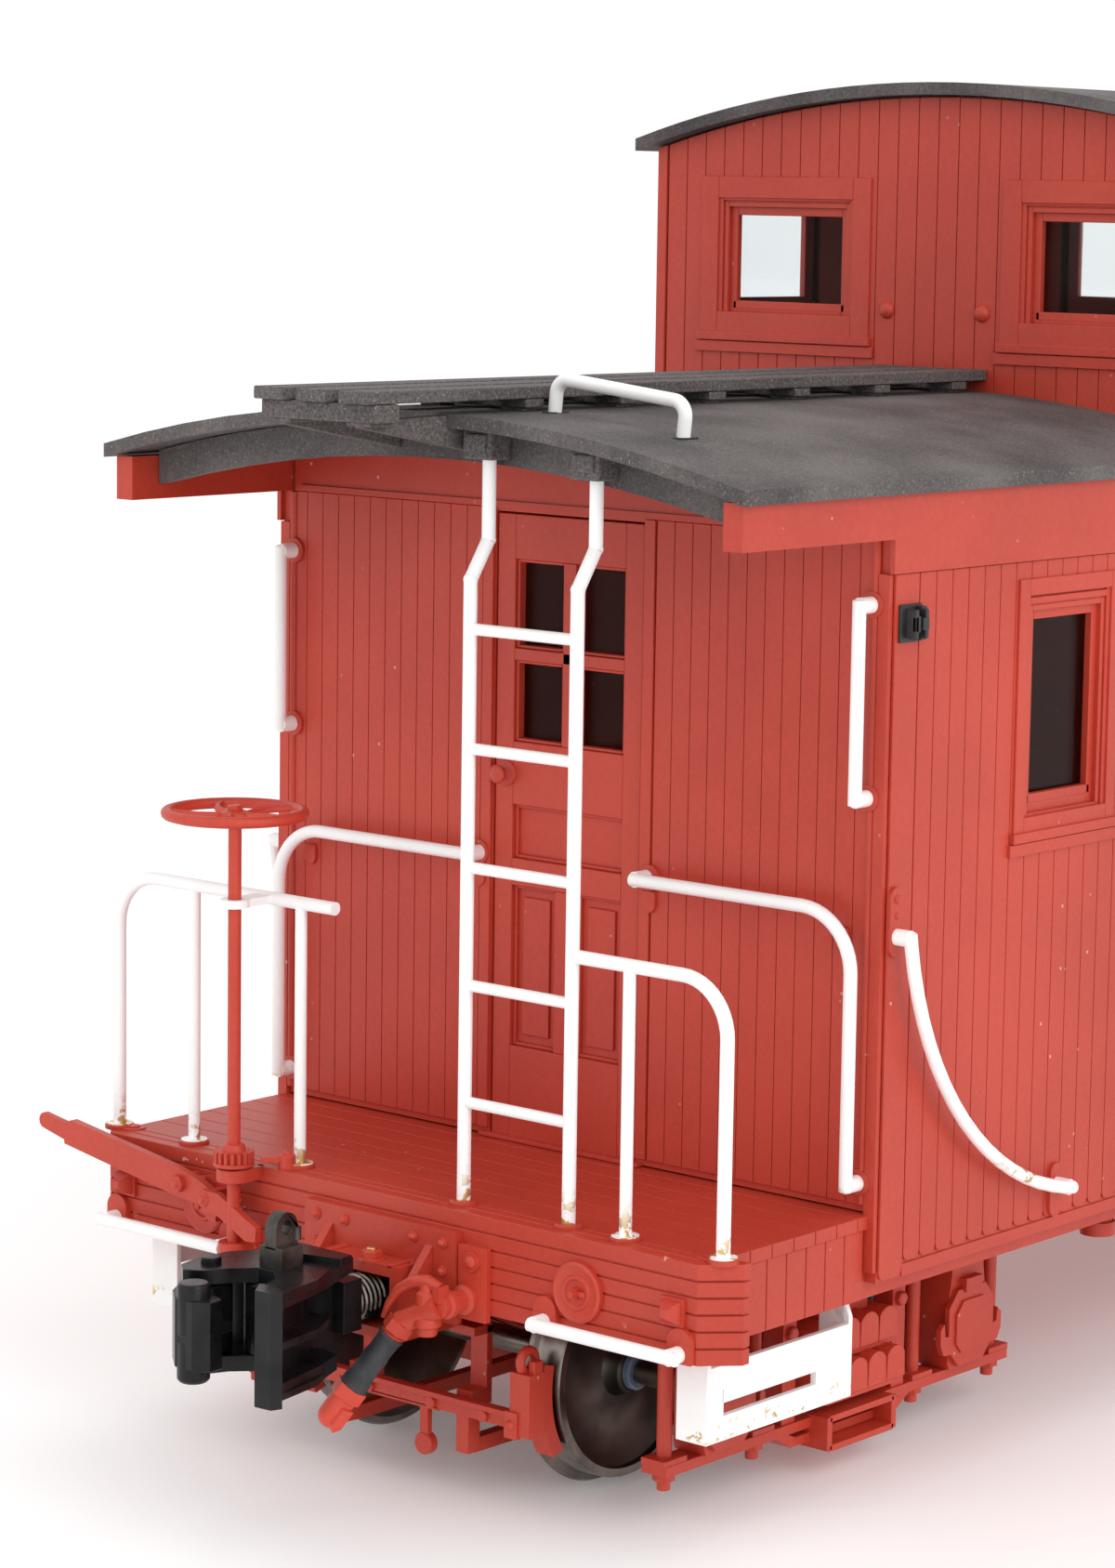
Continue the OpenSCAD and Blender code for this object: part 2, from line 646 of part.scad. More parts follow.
module coupler() {
    z = coupler_z;
    difference() {
        union() {
            block([pin_x, -3.4, z - 3], [frame_x + 16, 3.4, z + 3]);
            translate([pin_x, 0, z - 3]) cylinder(r = 3.4, h = 6);
            translate([0, 0, z - 7.6]) linear_extrude(height = 15.2)
                polygon([[frame_x + 15, -4.6], [frame_x + 19, -8], [frame_x + 23, -11.6],
                    [frame_x + 25, -11.6], [frame_x + 25, -5.5], [frame_x + 23.5, -2],
                    [frame_x + 24.5, 2.6], [frame_x + 35.5, 9.4], [frame_x + 34.6, 11.6],
                    [frame_x + 21, 8.6], [frame_x + 15, 4.6]]);
            for (s = [-7.6, 5.4]) {
                translate([hinge_x, hinge_y, z + s]) cylinder(r = 3.2, h = 2.2);
                block([frame_x + 20, hinge_y - 3, z + s], [hinge_x, hinge_y + 3, z + s + 2.2]);
            }
            translate([hinge_x, hinge_y, z + 7.5]) cylinder(r = 1.6, h = 1.2);
            block([frame_x + 17, -2.4, z + 7.5], [frame_x + 22, 0.6, z + 11.2]);
        }
        translate([pin_x, 0, z - 5]) cylinder(r = 1.4, h = 10);
        translate([hinge_x, hinge_y, z - 5.35]) cylinder(r = 3.7, h = 10.7);
        translate([frame_x + 18.5, 3, z - 1.5]) translate([1.8, 0, 11]) rotate([90, 0, 0]) cylinder(r = 1.1, h = 8);
    }
    translate([hinge_x, hinge_y, z - 6]) cylinder(r = 1.2, h = 12);
    translate([frame_x + 8.6, 0, z]) rotate([0, 90, 0]) cylinder(r = 4.6, h = 5.4);
}

module knuckle() {
    difference() {
        union() {
            translate([hinge_x, hinge_y, coupler_z - 5.2]) cylinder(r = 3.2, h = 10.4);
            translate([0, 0, coupler_z - 5.2]) linear_extrude(height = 10.4)
                polygon([[hinge_x - 0.6, hinge_y - 3], [hinge_x + 8.4, hinge_y - 1.4],
                    [hinge_x + 10.6, hinge_y + 2], [hinge_x + 10.4, hinge_y + 8],
                    [hinge_x + 7.4, hinge_y + 8], [hinge_x + 6.6, hinge_y + 3.4],
                    [hinge_x + 1.6, hinge_y + 2.7]]);
            translate([hinge_x + 8.4, hinge_y + 7.4, coupler_z - 7.2]) cylinder(r = 2.3, h = 14.4);
        }
        translate([hinge_x, hinge_y, coupler_z - 8]) cylinder(r = 1.28, h = 16);
    }
}

module front_coupler() color(black) coupler();
module rear_coupler() color(black) rear() coupler();
module front_knuckle() color(black) knuckle();
module rear_knuckle() color(black) rear() knuckle();

// ---- trucks, drawn about their own pivot ----

module truck_frame() {
    fy = frame_y - 5;
    difference() {
        union() {
            both_sides() {
                block([-42, fy, bar_top - 3], [42, frame_y, bar_top]);
                block([-42, fy, 7.4], [42, frame_y, 9.4]);
                for (s = [-1, 1]) {
                    block([s * axle_x - 6.2, fy - 0.4, box_z[0]], [s * axle_x + 6.2, frame_y + 2, bar_top - 2]);
                    for (d = [-10.2, 10.2])
                        translate([s * axle_x + d, frame_y - 2.5, 5]) cylinder(r = 1.1, h = bar_top - 4);
                    block([s * 12.5 - 1.5, fy + 1, 8], [s * 12.5 + 1.5, frame_y - 1, bar_top - 2]);
                }
            }
            block([-6, -frame_y + 1, bar_top - 5.4], [6, frame_y - 1, bar_top + 1.4]);
            difference() {
                block([-plank_x, -frame_y + 0.5, 4], [plank_x, frame_y - 0.5, 9.4]);
                block([-plank_x + 1.6, -frame_y - 1, 5.6], [plank_x - 1.6, frame_y + 1, 7.8]);
            }
            translate([0, 0, bar_top]) cylinder(r = 8, h = sill_z - 1.4 - bar_top);
        }
        both_sides() for (s = [-1, 1]) translate([s * axle_x, fy - 1, axle_z]) rotate([-90, 0, 0])
            cylinder(r = journal_r + 0.08, h = 4.6);
        cylinder(r = king_r + 0.1, h = 60);
    }
}

// Two full leaf springs across the truck, between the plank and the bolster
module truck_springs() {
    z0 = 9.4;
    z1 = bar_top - 5.4;
    h = (z1 - z0) / 2;
    half = frame_y + 2;
    r = (half * half + h * h) / (2 * h);
    zm = (z0 + z1) / 2;
    for (x = [-10.2, 2.2]) along_x(x, 8) difference() {
        intersection() {
            translate([0, z1 - r]) circle(r = r, $fn = 360);
            translate([0, z0 + r]) circle(r = r, $fn = 360);
            translate([-half + 2, z0 - 1]) square([2 * half - 4, z1 - z0 + 2]);
        }
        intersection() {
            translate([0, z1 - 2.8 - r]) circle(r = r, $fn = 360);
            translate([0, z0 + 2.8 + r]) circle(r = r, $fn = 360);
        }
    }
}

module truck_brakes() {
    bx = axle_x + tread_r + 4.4;
    gy = gauge / 2 - 0.4;
    for (s = [0, 1]) mirror([s, 0, 0]) {
        block([bx - 1.6, -gy - 3, 12.4], [bx + 1.6, gy + 3, 15.4]);
        both_sides() {
            block([plank_x, 11, 6.6], [bx, 13, 8.8]);
            block([bx - 1.6, 11, 6.6], [bx + 1.6, 13, 13]);
            difference() {
                block([bx - 6.4, gy, 8.4], [bx + 1.6, gy + 3.4, 22]);
                translate([axle_x, gy - 1, axle_z]) rotate([-90, 0, 0]) cylinder(r = tread_r + 0.6, h = 6);
            }
            translate([bx - 0.4, gy, 22.8]) rotate([-90, 0, 0]) cylinder(r = 2, h = 3.4);
        }
    }
}

module front_truck_frame() color(red) translate([truck_x, 0, 0]) truck_frame();
module rear_truck_frame() color(red) translate([-truck_x, 0, 0]) truck_frame();
module front_truck_springs() color(red) translate([truck_x, 0, 0]) truck_springs();
module rear_truck_springs() color(red) translate([-truck_x, 0, 0]) truck_springs();
module front_truck_brakes() color(red) translate([truck_x, 0, 0]) truck_brakes();
module rear_truck_brakes() color(red) translate([-truck_x, 0, 0]) truck_brakes();

// One axle with its two wheels
module wheelset(x) color(steel) translate([x, 0, axle_z]) rotate([-90, 0, 0]) {
    back = gauge / 2 - 2.4;
    fy = frame_y - 5.4;
    translate([0, 0, -fy + 0.4]) cylinder(r = axle_d / 2, h = 2 * fy - 0.8);
    translate([0, 0, -fy - 3.8]) cylinder(r = journal_r, h = 2 * fy + 7.6);
    both_faces() rotate_extrude($fn = 96) difference() {
        union() {
            translate([0, back]) square([flange_r - 0.4, 1.5]);
            translate([0, back + 0.3]) square([flange_r, 0.9]);
            translate([0, back + 1.5]) square([tread_r, 4.5]);
            translate([0, back - 0.8]) square([3.6, 7.6]);
        }
        translate([4.6, back + 3.4]) square([tread_r - 6.6, 3]);
        translate([4.6, back - 1]) square([tread_r - 6.6, 2]);
    }
}

module both_faces() {
    children();
    mirror([0, 0, 1]) children();
}

module wheelset_1() wheelset(truck_x + axle_x);
module wheelset_2() wheelset(truck_x - axle_x);
module wheelset_3() wheelset(-truck_x + axle_x);
module wheelset_4() wheelset(-truck_x - axle_x);

underframe();
platform_decks();
end_beams();
draft_boxes();
side_walls();
end_walls();
front_door();
rear_door();
front_door_glass();
rear_door_glass();
main_roof();
end_carlines();
eave_beams();
roof_walks();
cupola_ends();
cupola_sides();
cupola_roof();
window_frames();
cupola_window_frames();
window_glass();
cupola_glass();
smokejack();
ladders();
platform_railings();
end_handrails();
corner_grabs();
side_handrails();
roof_grabs();
beam_grabs();
side_steps();
marker_brackets();
cut_levers();
angle_cocks();
air_hoses();
hose_heads();
brake_cylinder();
drain_castings();
front_brake_wheel();
rear_brake_wheel();
front_coupler();
rear_coupler();
front_knuckle();
rear_knuckle();
front_truck_frame();
rear_truck_frame();
front_truck_springs();
rear_truck_springs();
front_truck_brakes();
rear_truck_brakes();
wheelset_1();
wheelset_2();
wheelset_3();
wheelset_4();
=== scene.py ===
# %% [markdown]
# # A narrow-gauge caboose, as a 1:20.3 scale model
# This lesson dresses a finished mechanical model: red boarded body, charcoal roofs, white wire
# rails, glossy couplers. The mechanical model gives every size; we add boards, bolts and finishes.

# %% Load the mechanical model
import bpy
import json
import math
from mathutils import Matrix, Vector


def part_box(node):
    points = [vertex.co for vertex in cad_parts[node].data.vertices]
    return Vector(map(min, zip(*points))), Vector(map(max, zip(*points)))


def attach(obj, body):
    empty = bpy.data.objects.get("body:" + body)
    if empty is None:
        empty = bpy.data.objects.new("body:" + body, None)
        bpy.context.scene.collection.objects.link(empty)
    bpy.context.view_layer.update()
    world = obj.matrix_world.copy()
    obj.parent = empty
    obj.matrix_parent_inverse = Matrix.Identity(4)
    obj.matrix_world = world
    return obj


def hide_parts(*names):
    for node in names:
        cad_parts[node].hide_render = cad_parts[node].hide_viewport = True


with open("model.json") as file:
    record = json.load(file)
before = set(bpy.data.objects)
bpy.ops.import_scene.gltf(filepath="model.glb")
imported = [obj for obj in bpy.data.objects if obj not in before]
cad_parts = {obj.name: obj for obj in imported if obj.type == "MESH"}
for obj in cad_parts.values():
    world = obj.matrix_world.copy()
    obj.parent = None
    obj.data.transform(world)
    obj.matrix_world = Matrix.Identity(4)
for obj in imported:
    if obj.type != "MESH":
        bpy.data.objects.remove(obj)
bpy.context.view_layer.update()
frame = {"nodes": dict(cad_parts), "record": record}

# %% [markdown]
# ## Camera
# A long lens close to a corner of the platform, a little above the deck. The camera's axes are
# worked out from its bearing, height angle and a slight roll, and the lens is shifted so that the
# lines which are upright on the car stay nearly upright.

# %% Camera
def aim(azimuth, elevation, roll):
    az, el, ro = (math.radians(a) for a in (azimuth, elevation, roll))
    back = Vector((math.cos(el) * math.cos(az), math.cos(el) * math.sin(az), math.sin(el)))
    right = Vector((0, 0, 1)).cross(back).normalized()
    up = back.cross(right)
    x_axis = right * math.cos(ro) + up * math.sin(ro)
    y_axis = up * math.cos(ro) - right * math.sin(ro)
    return Matrix((x_axis, y_axis, back)).transposed().to_4x4()


camera = bpy.data.objects.new("camera", bpy.data.cameras.new("camera"))
bpy.context.scene.collection.objects.link(camera)
camera.matrix_world = Matrix.Translation((0.6559, 0.4036, 0.1889)) @ aim(39.365, 7.728, 1.023)
camera.data.sensor_width = 36
camera.data.lens = 95.13
camera.data.shift_x = -0.0654
camera.data.shift_y = -0.0171
camera.data.clip_start = 0.01
bpy.context.scene.camera = camera

# %% [markdown]
# ## Studio
# A pale floor under the wheels, an even white surround, and one large soft light on the long side,
# which is why the side wall looks lighter than the end wall.

# %% Floor, surround and lights
scene = bpy.context.scene
scene.view_settings.view_transform = "Standard"
world = bpy.data.worlds.new("studio")
scene.world = world
world.use_nodes = True
world.node_tree.nodes["Background"].inputs["Color"].default_value = (1, 1, 1, 1)
world.node_tree.nodes["Background"].inputs["Strength"].default_value = 1.0

floor_mesh = bpy.data.meshes.new("floor")
floor_mesh.from_pydata([(-7, -7, 0), (3, -7, 0), (3, 3, 0), (-7, 3, 0)], [], [(0, 1, 2, 3)])
floor = bpy.data.objects.new("floor", floor_mesh)
scene.collection.objects.link(floor)


def soft_light(name, place, target, size, power):
    data = bpy.data.lights.new(name, "AREA")
    data.shape = "RECTANGLE"
    data.size = data.size_y = size
    data.energy = power
    light = bpy.data.objects.new(name, data)
    scene.collection.objects.link(light)
    light.location = place
    light.rotation_euler = (Vector(target) - Vector(place)).to_track_quat("-Z", "Y").to_euler()
    return light


soft_light("side_softbox", (0.55, 1.5, 0.95), (0.1, 0.06, 0.09), 1.0, 8)
soft_light("front_softbox", (1.7, -0.35, 0.75), (0.2, 0, 0.08), 0.8, 1.5)
soft_light("top_softbox", (0.1, 0.1, 1.6), (0.1, 0, 0.1), 1.0, 2)

# %% [markdown]
# ## A shape builder
# Scale models are made of many small plain shapes: boards, bolts, rods, turned parts. This class
# gathers faces in millimetres, with a placement that can be changed on the way, and makes one
# mesh at the end. Edges are then rounded by a bevel, as a mould leaves them.

# %% Shape builder
MM = 0.001
TURN = Matrix.Rotation(math.pi, 4, "Z")
FLIP = Matrix.Scale(-1, 4, (0, 1, 0))
AS_IS = Matrix.Identity(4)
BOTH_SIDES = (AS_IS, FLIP)
BOTH_ENDS = (("front", AS_IS), ("rear", TURN))


def axes(u, v, w, at=(0, 0, 0)):
    """A placement that lays local x, y and z along three given directions."""
    m = Matrix((Vector(u), Vector(v), Vector(w))).transposed().to_4x4()
    return Matrix.Translation(at) @ m


def on_end(x):
    """Local x, y, z become across, up and outwards, on an end wall at x."""
    return axes((0, 1, 0), (0, 0, 1), (1, 0, 0), (x, 0, 0))


def on_side(y):
    """Local x, y, z become along, up and outwards, on a side wall at y."""
    return axes((1, 0, 0), (0, 0, 1), (0, 1, 0), (0, y, 0))


def shifted(x=0, y=0, z=0):
    return Matrix.Translation((x, y, z))


def turned(degrees, axis):
    return Matrix.Rotation(math.radians(degrees), 4, axis)


class Shape:
    """Faces gathered in millimetres and made into one piece."""

    def __init__(self):
        self.points, self.faces, self.place = [], [], Matrix.Identity(4)

    def add(self, points, faces):
        base, mirrored = len(self.points), self.place.determinant() < 0
        self.points += [self.place @ Vector(p) for p in points]
        for face in faces:
            face = [base + i for i in face]
            self.faces.append(face[::-1] if mirrored else face)
        return self

    def at(self, *placements):
        self.place = Matrix.Identity(4)
        for m in placements:
            self.place = self.place @ m
        return self

    def prism(self, outline, z0, z1):
        n = len(outline)
        area = sum(outline[i - 1][0] * outline[i][1] - outline[i][0] * outline[i - 1][1] for i in range(n))
        ring = outline if area > 0 else outline[::-1]
        points = [(x, y, z0) for x, y in ring] + [(x, y, z1) for x, y in ring]
        sides = [(i, (i + 1) % n, n + (i + 1) % n, n + i) for i in range(n)]
        return self.add(points, [tuple(range(n))[::-1], tuple(range(n, 2 * n))] + sides)

    def block(self, a, b):
        return self.prism([(a[0], a[1]), (b[0], a[1]), (b[0], b[1]), (a[0], b[1])], a[2], b[2])

    def lathe(self, profile, steps=32):
        """Turns (radius, height) points about local z; a radius of 0 closes an end."""
        points, rows, faces = [], [], []
        for r, z in profile:
            rows.append([len(points) + k for k in range(steps if r > 0 else 1)])
            points += [(r * math.cos(k * math.tau / steps), r * math.sin(k * math.tau / steps), z)
                       for k in range(len(rows[-1]))]
        for low, high in zip(rows, rows[1:]):
            for k in range(steps):
                ring = [low[k % len(low)], low[(k + 1) % len(low)], high[(k + 1) % len(high)],
                        high[k % len(high)]]
                ring = list(dict.fromkeys(ring))
                if len(ring) > 2:
                    faces.append(ring)
        return self.add(points, faces)

    def disc(self, r, z0, z1, steps=32, edge=0.0):
        e = edge or 0.15 * min(r, z1 - z0)
        return self.lathe([(0, z0), (r, z0), (r, z1 - e), (r - e, z1), (0, z1)], steps)

    def nut(self, r, z0, z1, sides=6):
        e = 0.22 * (z1 - z0)
        return self.lathe([(0, z0), (r, z0), (r, z1 - e), (r - 1.2 * e, z1), (0, z1)], sides)

    def dome(self, r, h, z0=0.0, steps=20):
        arc = [(r * math.cos(a * math.pi / 10), z0 + h * math.sin(a * math.pi / 10)) for a in range(0, 5)]
        return self.lathe([(0, z0)] + arc + [(0, z0 + h)], steps)

    def rod(self, path, r, steps=12, close=False):
        """A tube through the points of a path; r may be a list with one radius a point."""
        path = [Vector(p) for p in path]
        n = len(path)
        radii = r if isinstance(r, (list, tuple)) else [r] * n
        side, points, rows = None, [], []
        for i, p in enumerate(path):
            before = path[i - 1] if (i or close) else p
            after = path[(i + 1) % n] if (i < n - 1 or close) else p
            along = (after - before).normalized()
            if side is None:
                side = along.cross(Vector((0.31, 0.52, 0.79))).normalized()
            side = (side - along * side.dot(along)).normalized()
            other = along.cross(side)
            rows.append([len(points) + k for k in range(steps)])
            for k in range(steps):
                angle = k * math.tau / steps
                points.append(p + (side * math.cos(angle) + other * math.sin(angle)) * radii[i])
        faces = []
        for i in range(n if close else n - 1):
            low, high = rows[i], rows[(i + 1) % n]
            faces += [(low[k], low[(k + 1) % steps], high[(k + 1) % steps], high[k]) for k in range(steps)]
        if not close:
            faces += [tuple(rows[0])[::-1], tuple(rows[-1])]
        return self.add(points, faces)

    def repeat(self, placement):
        """Copies everything so far with a placement in millimetres."""
        here, self.place = self.place, placement
        points, faces = [tuple(p) for p in self.points], [tuple(f) for f in self.faces]
        self.add(points, faces)
        self.place = here
        return self

    def both_sides(self):
        return self.repeat(FLIP)

    def both_ends(self):
        return self.repeat(TURN)

    def piece(self, name, finish, body, bevel=0.12, segments=2, smooth=35, stands_for=()):
        mesh = bpy.data.meshes.new(name)
        mesh.from_pydata([p * MM for p in self.points], [], self.faces)
        mesh.validate()
        mesh.shade_smooth()
        mesh.set_sharp_from_angle(angle=math.radians(smooth))
        mesh.materials.append(FINISHES[finish][0])
        made = bpy.data.objects.new(name, mesh)
        scene.collection.objects.link(made)
        if bevel:
            rounding = made.modifiers.new("rounded_edges", "BEVEL")
            rounding.width = bevel * MM
            rounding.segments = segments
            rounding.limit_method = "ANGLE"
            rounding.angle_limit = math.radians(38)
            rounding.harden_normals = True
        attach(made, body)
        if stands_for:
            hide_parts(*stands_for)
        return made


def circle_points(cx, cy, r, a0, a1, steps):
    span = [math.radians(a0 + (a1 - a0) * k / steps) for k in range(steps + 1)]
    return [(cx + r * math.cos(a), cy + r * math.sin(a)) for a in span]


# %% [markdown]
# ## Shader arithmetic
# A finish is easier to read as a sum than as a web of nodes, so one small class wraps a node's
# output. Adding or multiplying wires adds the Math nodes; `blend` is a Mix node on colours.

# %% Wires
class Wire:
    """One output of a material's nodes, usable in sums."""

    def __init__(self, tree, output):
        self.tree, self.output = tree, output

    def node(self, kind, settings=(), inputs=(), out=0):
        made = self.tree.nodes.new(kind)
        for key, value in dict(settings).items():
            if key == "stops":
                for stop, (position, colour) in zip(made.color_ramp.elements, value):
                    stop.position, stop.color = position, colour
            else:
                setattr(made, key, value)
        for key, value in dict(inputs).items():
            if isinstance(value, Wire):
                self.tree.links.new(value.output, made.inputs[key])
            elif value is not None:
                made.inputs[key].default_value = value
        return Wire(self.tree, made.outputs[out])

    def math(self, operation, a, b=None, clamp=False):
        return self.node("ShaderNodeMath", {"operation": operation, "use_clamp": clamp}, {0: a, 1: b})

    def __add__(self, other):
        return self.math("ADD", self, other)

    def __sub__(self, other):
        return self.math("SUBTRACT", self, other)

    def __rsub__(self, other):
        return self.math("SUBTRACT", other, self)

    def __mul__(self, other):
        return self.math("MULTIPLY", self, other)

    __radd__, __rmul__ = __add__, __mul__

    def blend(self, low, high):
        """The colour low where this wire is 0 and high where it is 1."""
        return self.node("ShaderNodeMix", {"data_type": "RGBA"}, {0: self, 6: low, 7: high}, out=2)

    def rise(self, start, end):
        """0 up to start, 1 from end, and a smooth slope between."""
        return self.node("ShaderNodeMapRange", {"interpolation_type": "SMOOTHSTEP"},
                         {"Value": self, "From Min": start, "From Max": end})

    def noise(self, size, detail=2.0, roughness=0.5):
        """A cloudy pattern whose patches are about this many millimetres across."""
        return self.node("ShaderNodeTexNoise", {}, {"Vector": self, "Scale": 1000 / size,
                                                    "Detail": detail, "Roughness": roughness})

    def spots(self, spacing):
        """Distance to scattered points, spacing millimetres apart, in units of the spacing."""
        return self.node("ShaderNodeTexVoronoi", {}, {"Vector": self, "Scale": 1000 / spacing})

    def part(self, axis):
        return self.node("ShaderNodeSeparateXYZ", {}, {0: self}, out="XYZ".index(axis))

    def bump(self, strength, depth):
        """A surface normal raised by this wire; depth is in millimetres."""
        return self.node("ShaderNodeBump", {}, {"Strength": strength, "Distance": depth * MM, "Height": self})


FINISHES = {}


def new_finish(name, slot, **constants):
    """A material with its constants set, its Object coordinates and its shader."""
    material = bpy.data.materials.new(name)
    material.use_nodes = True
    shader = material.node_tree.nodes["Principled BSDF"]
    for key, value in constants.items():
        shader.inputs[key.replace("_", " ").title().replace("Ior", "IOR")].default_value = value
    coordinates = material.node_tree.nodes.new("ShaderNodeTexCoord")
    FINISHES[name] = (material, slot)
    return shader, Wire(material.node_tree, coordinates.outputs["Object"])


def feed(shader, **wires):
    for key, wire in wires.items():
        wire.tree.links.new(wire.output, shader.inputs[key.replace("_", " ").title()])


def rgb(r, g, b):
    return (r, g, b, 1)


# %% [markdown]
# ## Red paint
# The body is moulded plastic with a thin satin oxide-red paint. It varies a little from patch to
# patch, is faintly grained, and has caught pale dust. Dust is a scatter of points, kept only where
# a second cloudy pattern is high, so that it isn't even.

# %% Red paint
def red_paint(name, slot, tone=1.0, chips=0.0):
    shader, where = new_finish(name, slot, roughness=0.45, ior=1.46)
    cloud = where.noise(28, 4)
    grain = where.noise(0.9, 2)
    dark = rgb(0.435 * tone, 0.036 * tone, 0.018 * tone)
    light = rgb(0.53 * tone, 0.053 * tone, 0.028 * tone)
    colour = (cloud * 0.7 + grain * 0.3).rise(0.3, 0.7).blend(dark, light)
    dust = (1 - where.spots(3.6).rise(0.05, 0.09)) * where.noise(24, 1).rise(0.52, 0.66)
    colour = (dust * 0.55).blend(colour, rgb(0.72, 0.55, 0.5))
    if chips:
        chipped = where.noise(2.6, 3, 0.6).rise(0.71 - chips, 0.73 - chips) * where.noise(20, 1).rise(0.55,
                                                                                                      0.62)
        colour = chipped.blend(colour, rgb(0.7, 0.36, 0.3))
    feed(shader, base_color=colour, roughness=0.36 + 0.18 * cloud,
         normal=(grain + 0.5 * where.noise(0.35, 1)).bump(0.16, 0.12))


red_paint("red_paint", "body_red")
red_paint("red_paint_worn", "body_red", 1.0, 0.05)
red_paint("red_metal", "body_red", 1.08)
red_paint("hose_red", "body_red", 1.32)

# %% [markdown]
# ## Roof covering
# Both roofs and the roof walk are matt charcoal with a fine glittering grain, like gritted felt.
# Two sizes of grain are mixed, and the same grain lifts the surface.

# %% Charcoal roof
def charcoal(name, coarse, lift):
    shader, where = new_finish(name, "roof_charcoal", roughness=0.72, ior=1.4)
    fine = where.noise(0.55, 2, 0.7)
    broad = where.noise(22, 3)
    colour = (fine * coarse + broad * (1 - coarse)).rise(0.3, 0.72).blend(rgb(0.05, 0.043, 0.042),
                                                                          rgb(0.15, 0.132, 0.128))
    glint = where.noise(0.3, 0).rise(0.7, 0.78)
    feed(shader, base_color=(glint * 0.45).blend(colour, rgb(0.34, 0.32, 0.31)), roughness=0.82 - 0.2 * fine,
         normal=fine.bump(lift, 0.25))


charcoal("charcoal_grained", 0.75, 0.5)
charcoal("charcoal_smooth", 0.35, 0.22)

# %% [markdown]
# ## White rails
# The rails are brass wire under white enamel. The enamel has chipped at the feet, where the brass
# shows, so the brass is let in by height above the deck and by a ragged pattern.

# %% White enamel
def white_enamel(name, foot, spread, amount):
    shader, where = new_finish(name, "rail_white", roughness=0.34, ior=1.5)
    height = where.part("Z")
    ragged = where.noise(2.2, 3, 0.65)
    rubbed = (1 - height.rise(foot, foot + spread)) * height.rise(foot - 0.001, foot)
    bare = rubbed * ragged.rise(amount, amount + 0.04) + where.noise(3.4, 4, 0.7).rise(0.745, 0.76)
    bare = bare.math("MINIMUM", bare, 1.0)
    enamel = where.noise(6, 2).blend(rgb(0.9, 0.895, 0.88), rgb(0.97, 0.97, 0.965))
    feed(shader, base_color=bare.blend(enamel, rgb(0.62, 0.42, 0.14)), metallic=bare * 0.85,
         roughness=0.3 + 0.14 * ragged, normal=where.noise(1.3, 2).bump(0.12, 0.15))


white_enamel("white_enamel", 0.0445, 0.006, 0.53)
white_enamel("white_enamel_worn", 0.0172, 0.003, 0.56)

# %% [markdown]
# ## Black plastic, rubber and metals
# The couplers are glossy black mouldings. The lifter, springs and axles are bare dark steel, and
# the wheels are blackened, with bright treads where they roll.

# %% Dark finishes
def plain_finish(name, slot, low, high, rough, spread, grain, lift, **constants):
    shader, where = new_finish(name, slot, **constants)
    cloud = where.noise(grain, 3)
    feed(shader, base_color=cloud.rise(0.3, 0.7).blend(rgb(*low), rgb(*high)),
         roughness=rough + spread * cloud,
         normal=where.noise(grain * 0.3, 2).bump(lift, 0.2))


plain_finish("gloss_black", "coupler_black", (0.005, 0.005, 0.006), (0.012, 0.012, 0.013), 0.2, 0.16, 5,
             0.08, ior=1.33)
plain_finish("satin_black", "fitting_black", (0.012, 0.012, 0.013), (0.03, 0.03, 0.031), 0.42, 0.16, 4, 0.12)
plain_finish("rubber", "hose_rubber", (0.022, 0.023, 0.026), (0.05, 0.052, 0.056), 0.55, 0.2, 3, 0.25)
plain_finish("gunmetal", "coupler_black", (0.05, 0.045, 0.04), (0.13, 0.115, 0.1), 0.3, 0.25, 4, 0.2,
             metallic=0.85)
plain_finish("spring_steel", "coupler_black", (0.16, 0.14, 0.12), (0.34, 0.3, 0.26), 0.26, 0.2, 3, 0.15,
             metallic=1.0)
plain_finish("wheel_dark", "wheel_metal", (0.045, 0.038, 0.032), (0.14, 0.118, 0.1), 0.24, 0.22, 9, 0.12,
             metallic=0.9)
plain_finish("wheel_bright", "wheel_metal", (0.13, 0.115, 0.1), (0.3, 0.27, 0.24), 0.2, 0.2, 6, 0.1,
             metallic=1.0)
plain_finish("axle_steel", "wheel_metal", (0.16, 0.14, 0.12), (0.3, 0.27, 0.24), 0.2, 0.16, 6, 0.1,
             metallic=1.0)
plain_finish("hub_blue", "wheel_metal", (0.09, 0.14, 0.2), (0.16, 0.22, 0.29), 0.4, 0.1, 3, 0.1)
plain_finish("brass", "rail_white", (0.52, 0.33, 0.1), (0.72, 0.5, 0.2), 0.25, 0.2, 3, 0.2, metallic=1.0)
# Painted shade: a near-black copy of the red body paint for the car's closed inside, which is red but unlit.
# Nothing below uses it.
plain_finish("painted_shade_inside", "body_red", (0.02, 0.011, 0.01), (0.045, 0.02, 0.016), 0.7, 0.2, 9, 0.2)

# %% [markdown]
# ## Window sheet and floor
# The windows are thin clear plastic, so they bend light less than glass does. The floor glows very
# slightly, which keeps it pale where the studio's light falls off.

# %% Clear window sheet
shader, where = new_finish("clear_sheet", "window_clear", transmission_weight=1.0, ior=1.12)
feed(shader, roughness=0.02 + 0.05 * where.noise(9, 3), base_color=where.noise(30, 2).blend(
    rgb(0.86, 0.89, 0.9), rgb(0.93, 0.95, 0.95)), normal=where.noise(18, 1).bump(0.05, 0.2))

# %% Pale floor
shader, where = new_finish("pale_floor", None, roughness=0.6, emission_color=rgb(1, 1, 1),
                           emission_strength=0.12)
feed(shader, base_color=where.noise(300, 2).blend(rgb(0.9, 0.9, 0.9), rgb(0.93, 0.93, 0.93)))
floor.data.materials.append(FINISHES["pale_floor"][0])

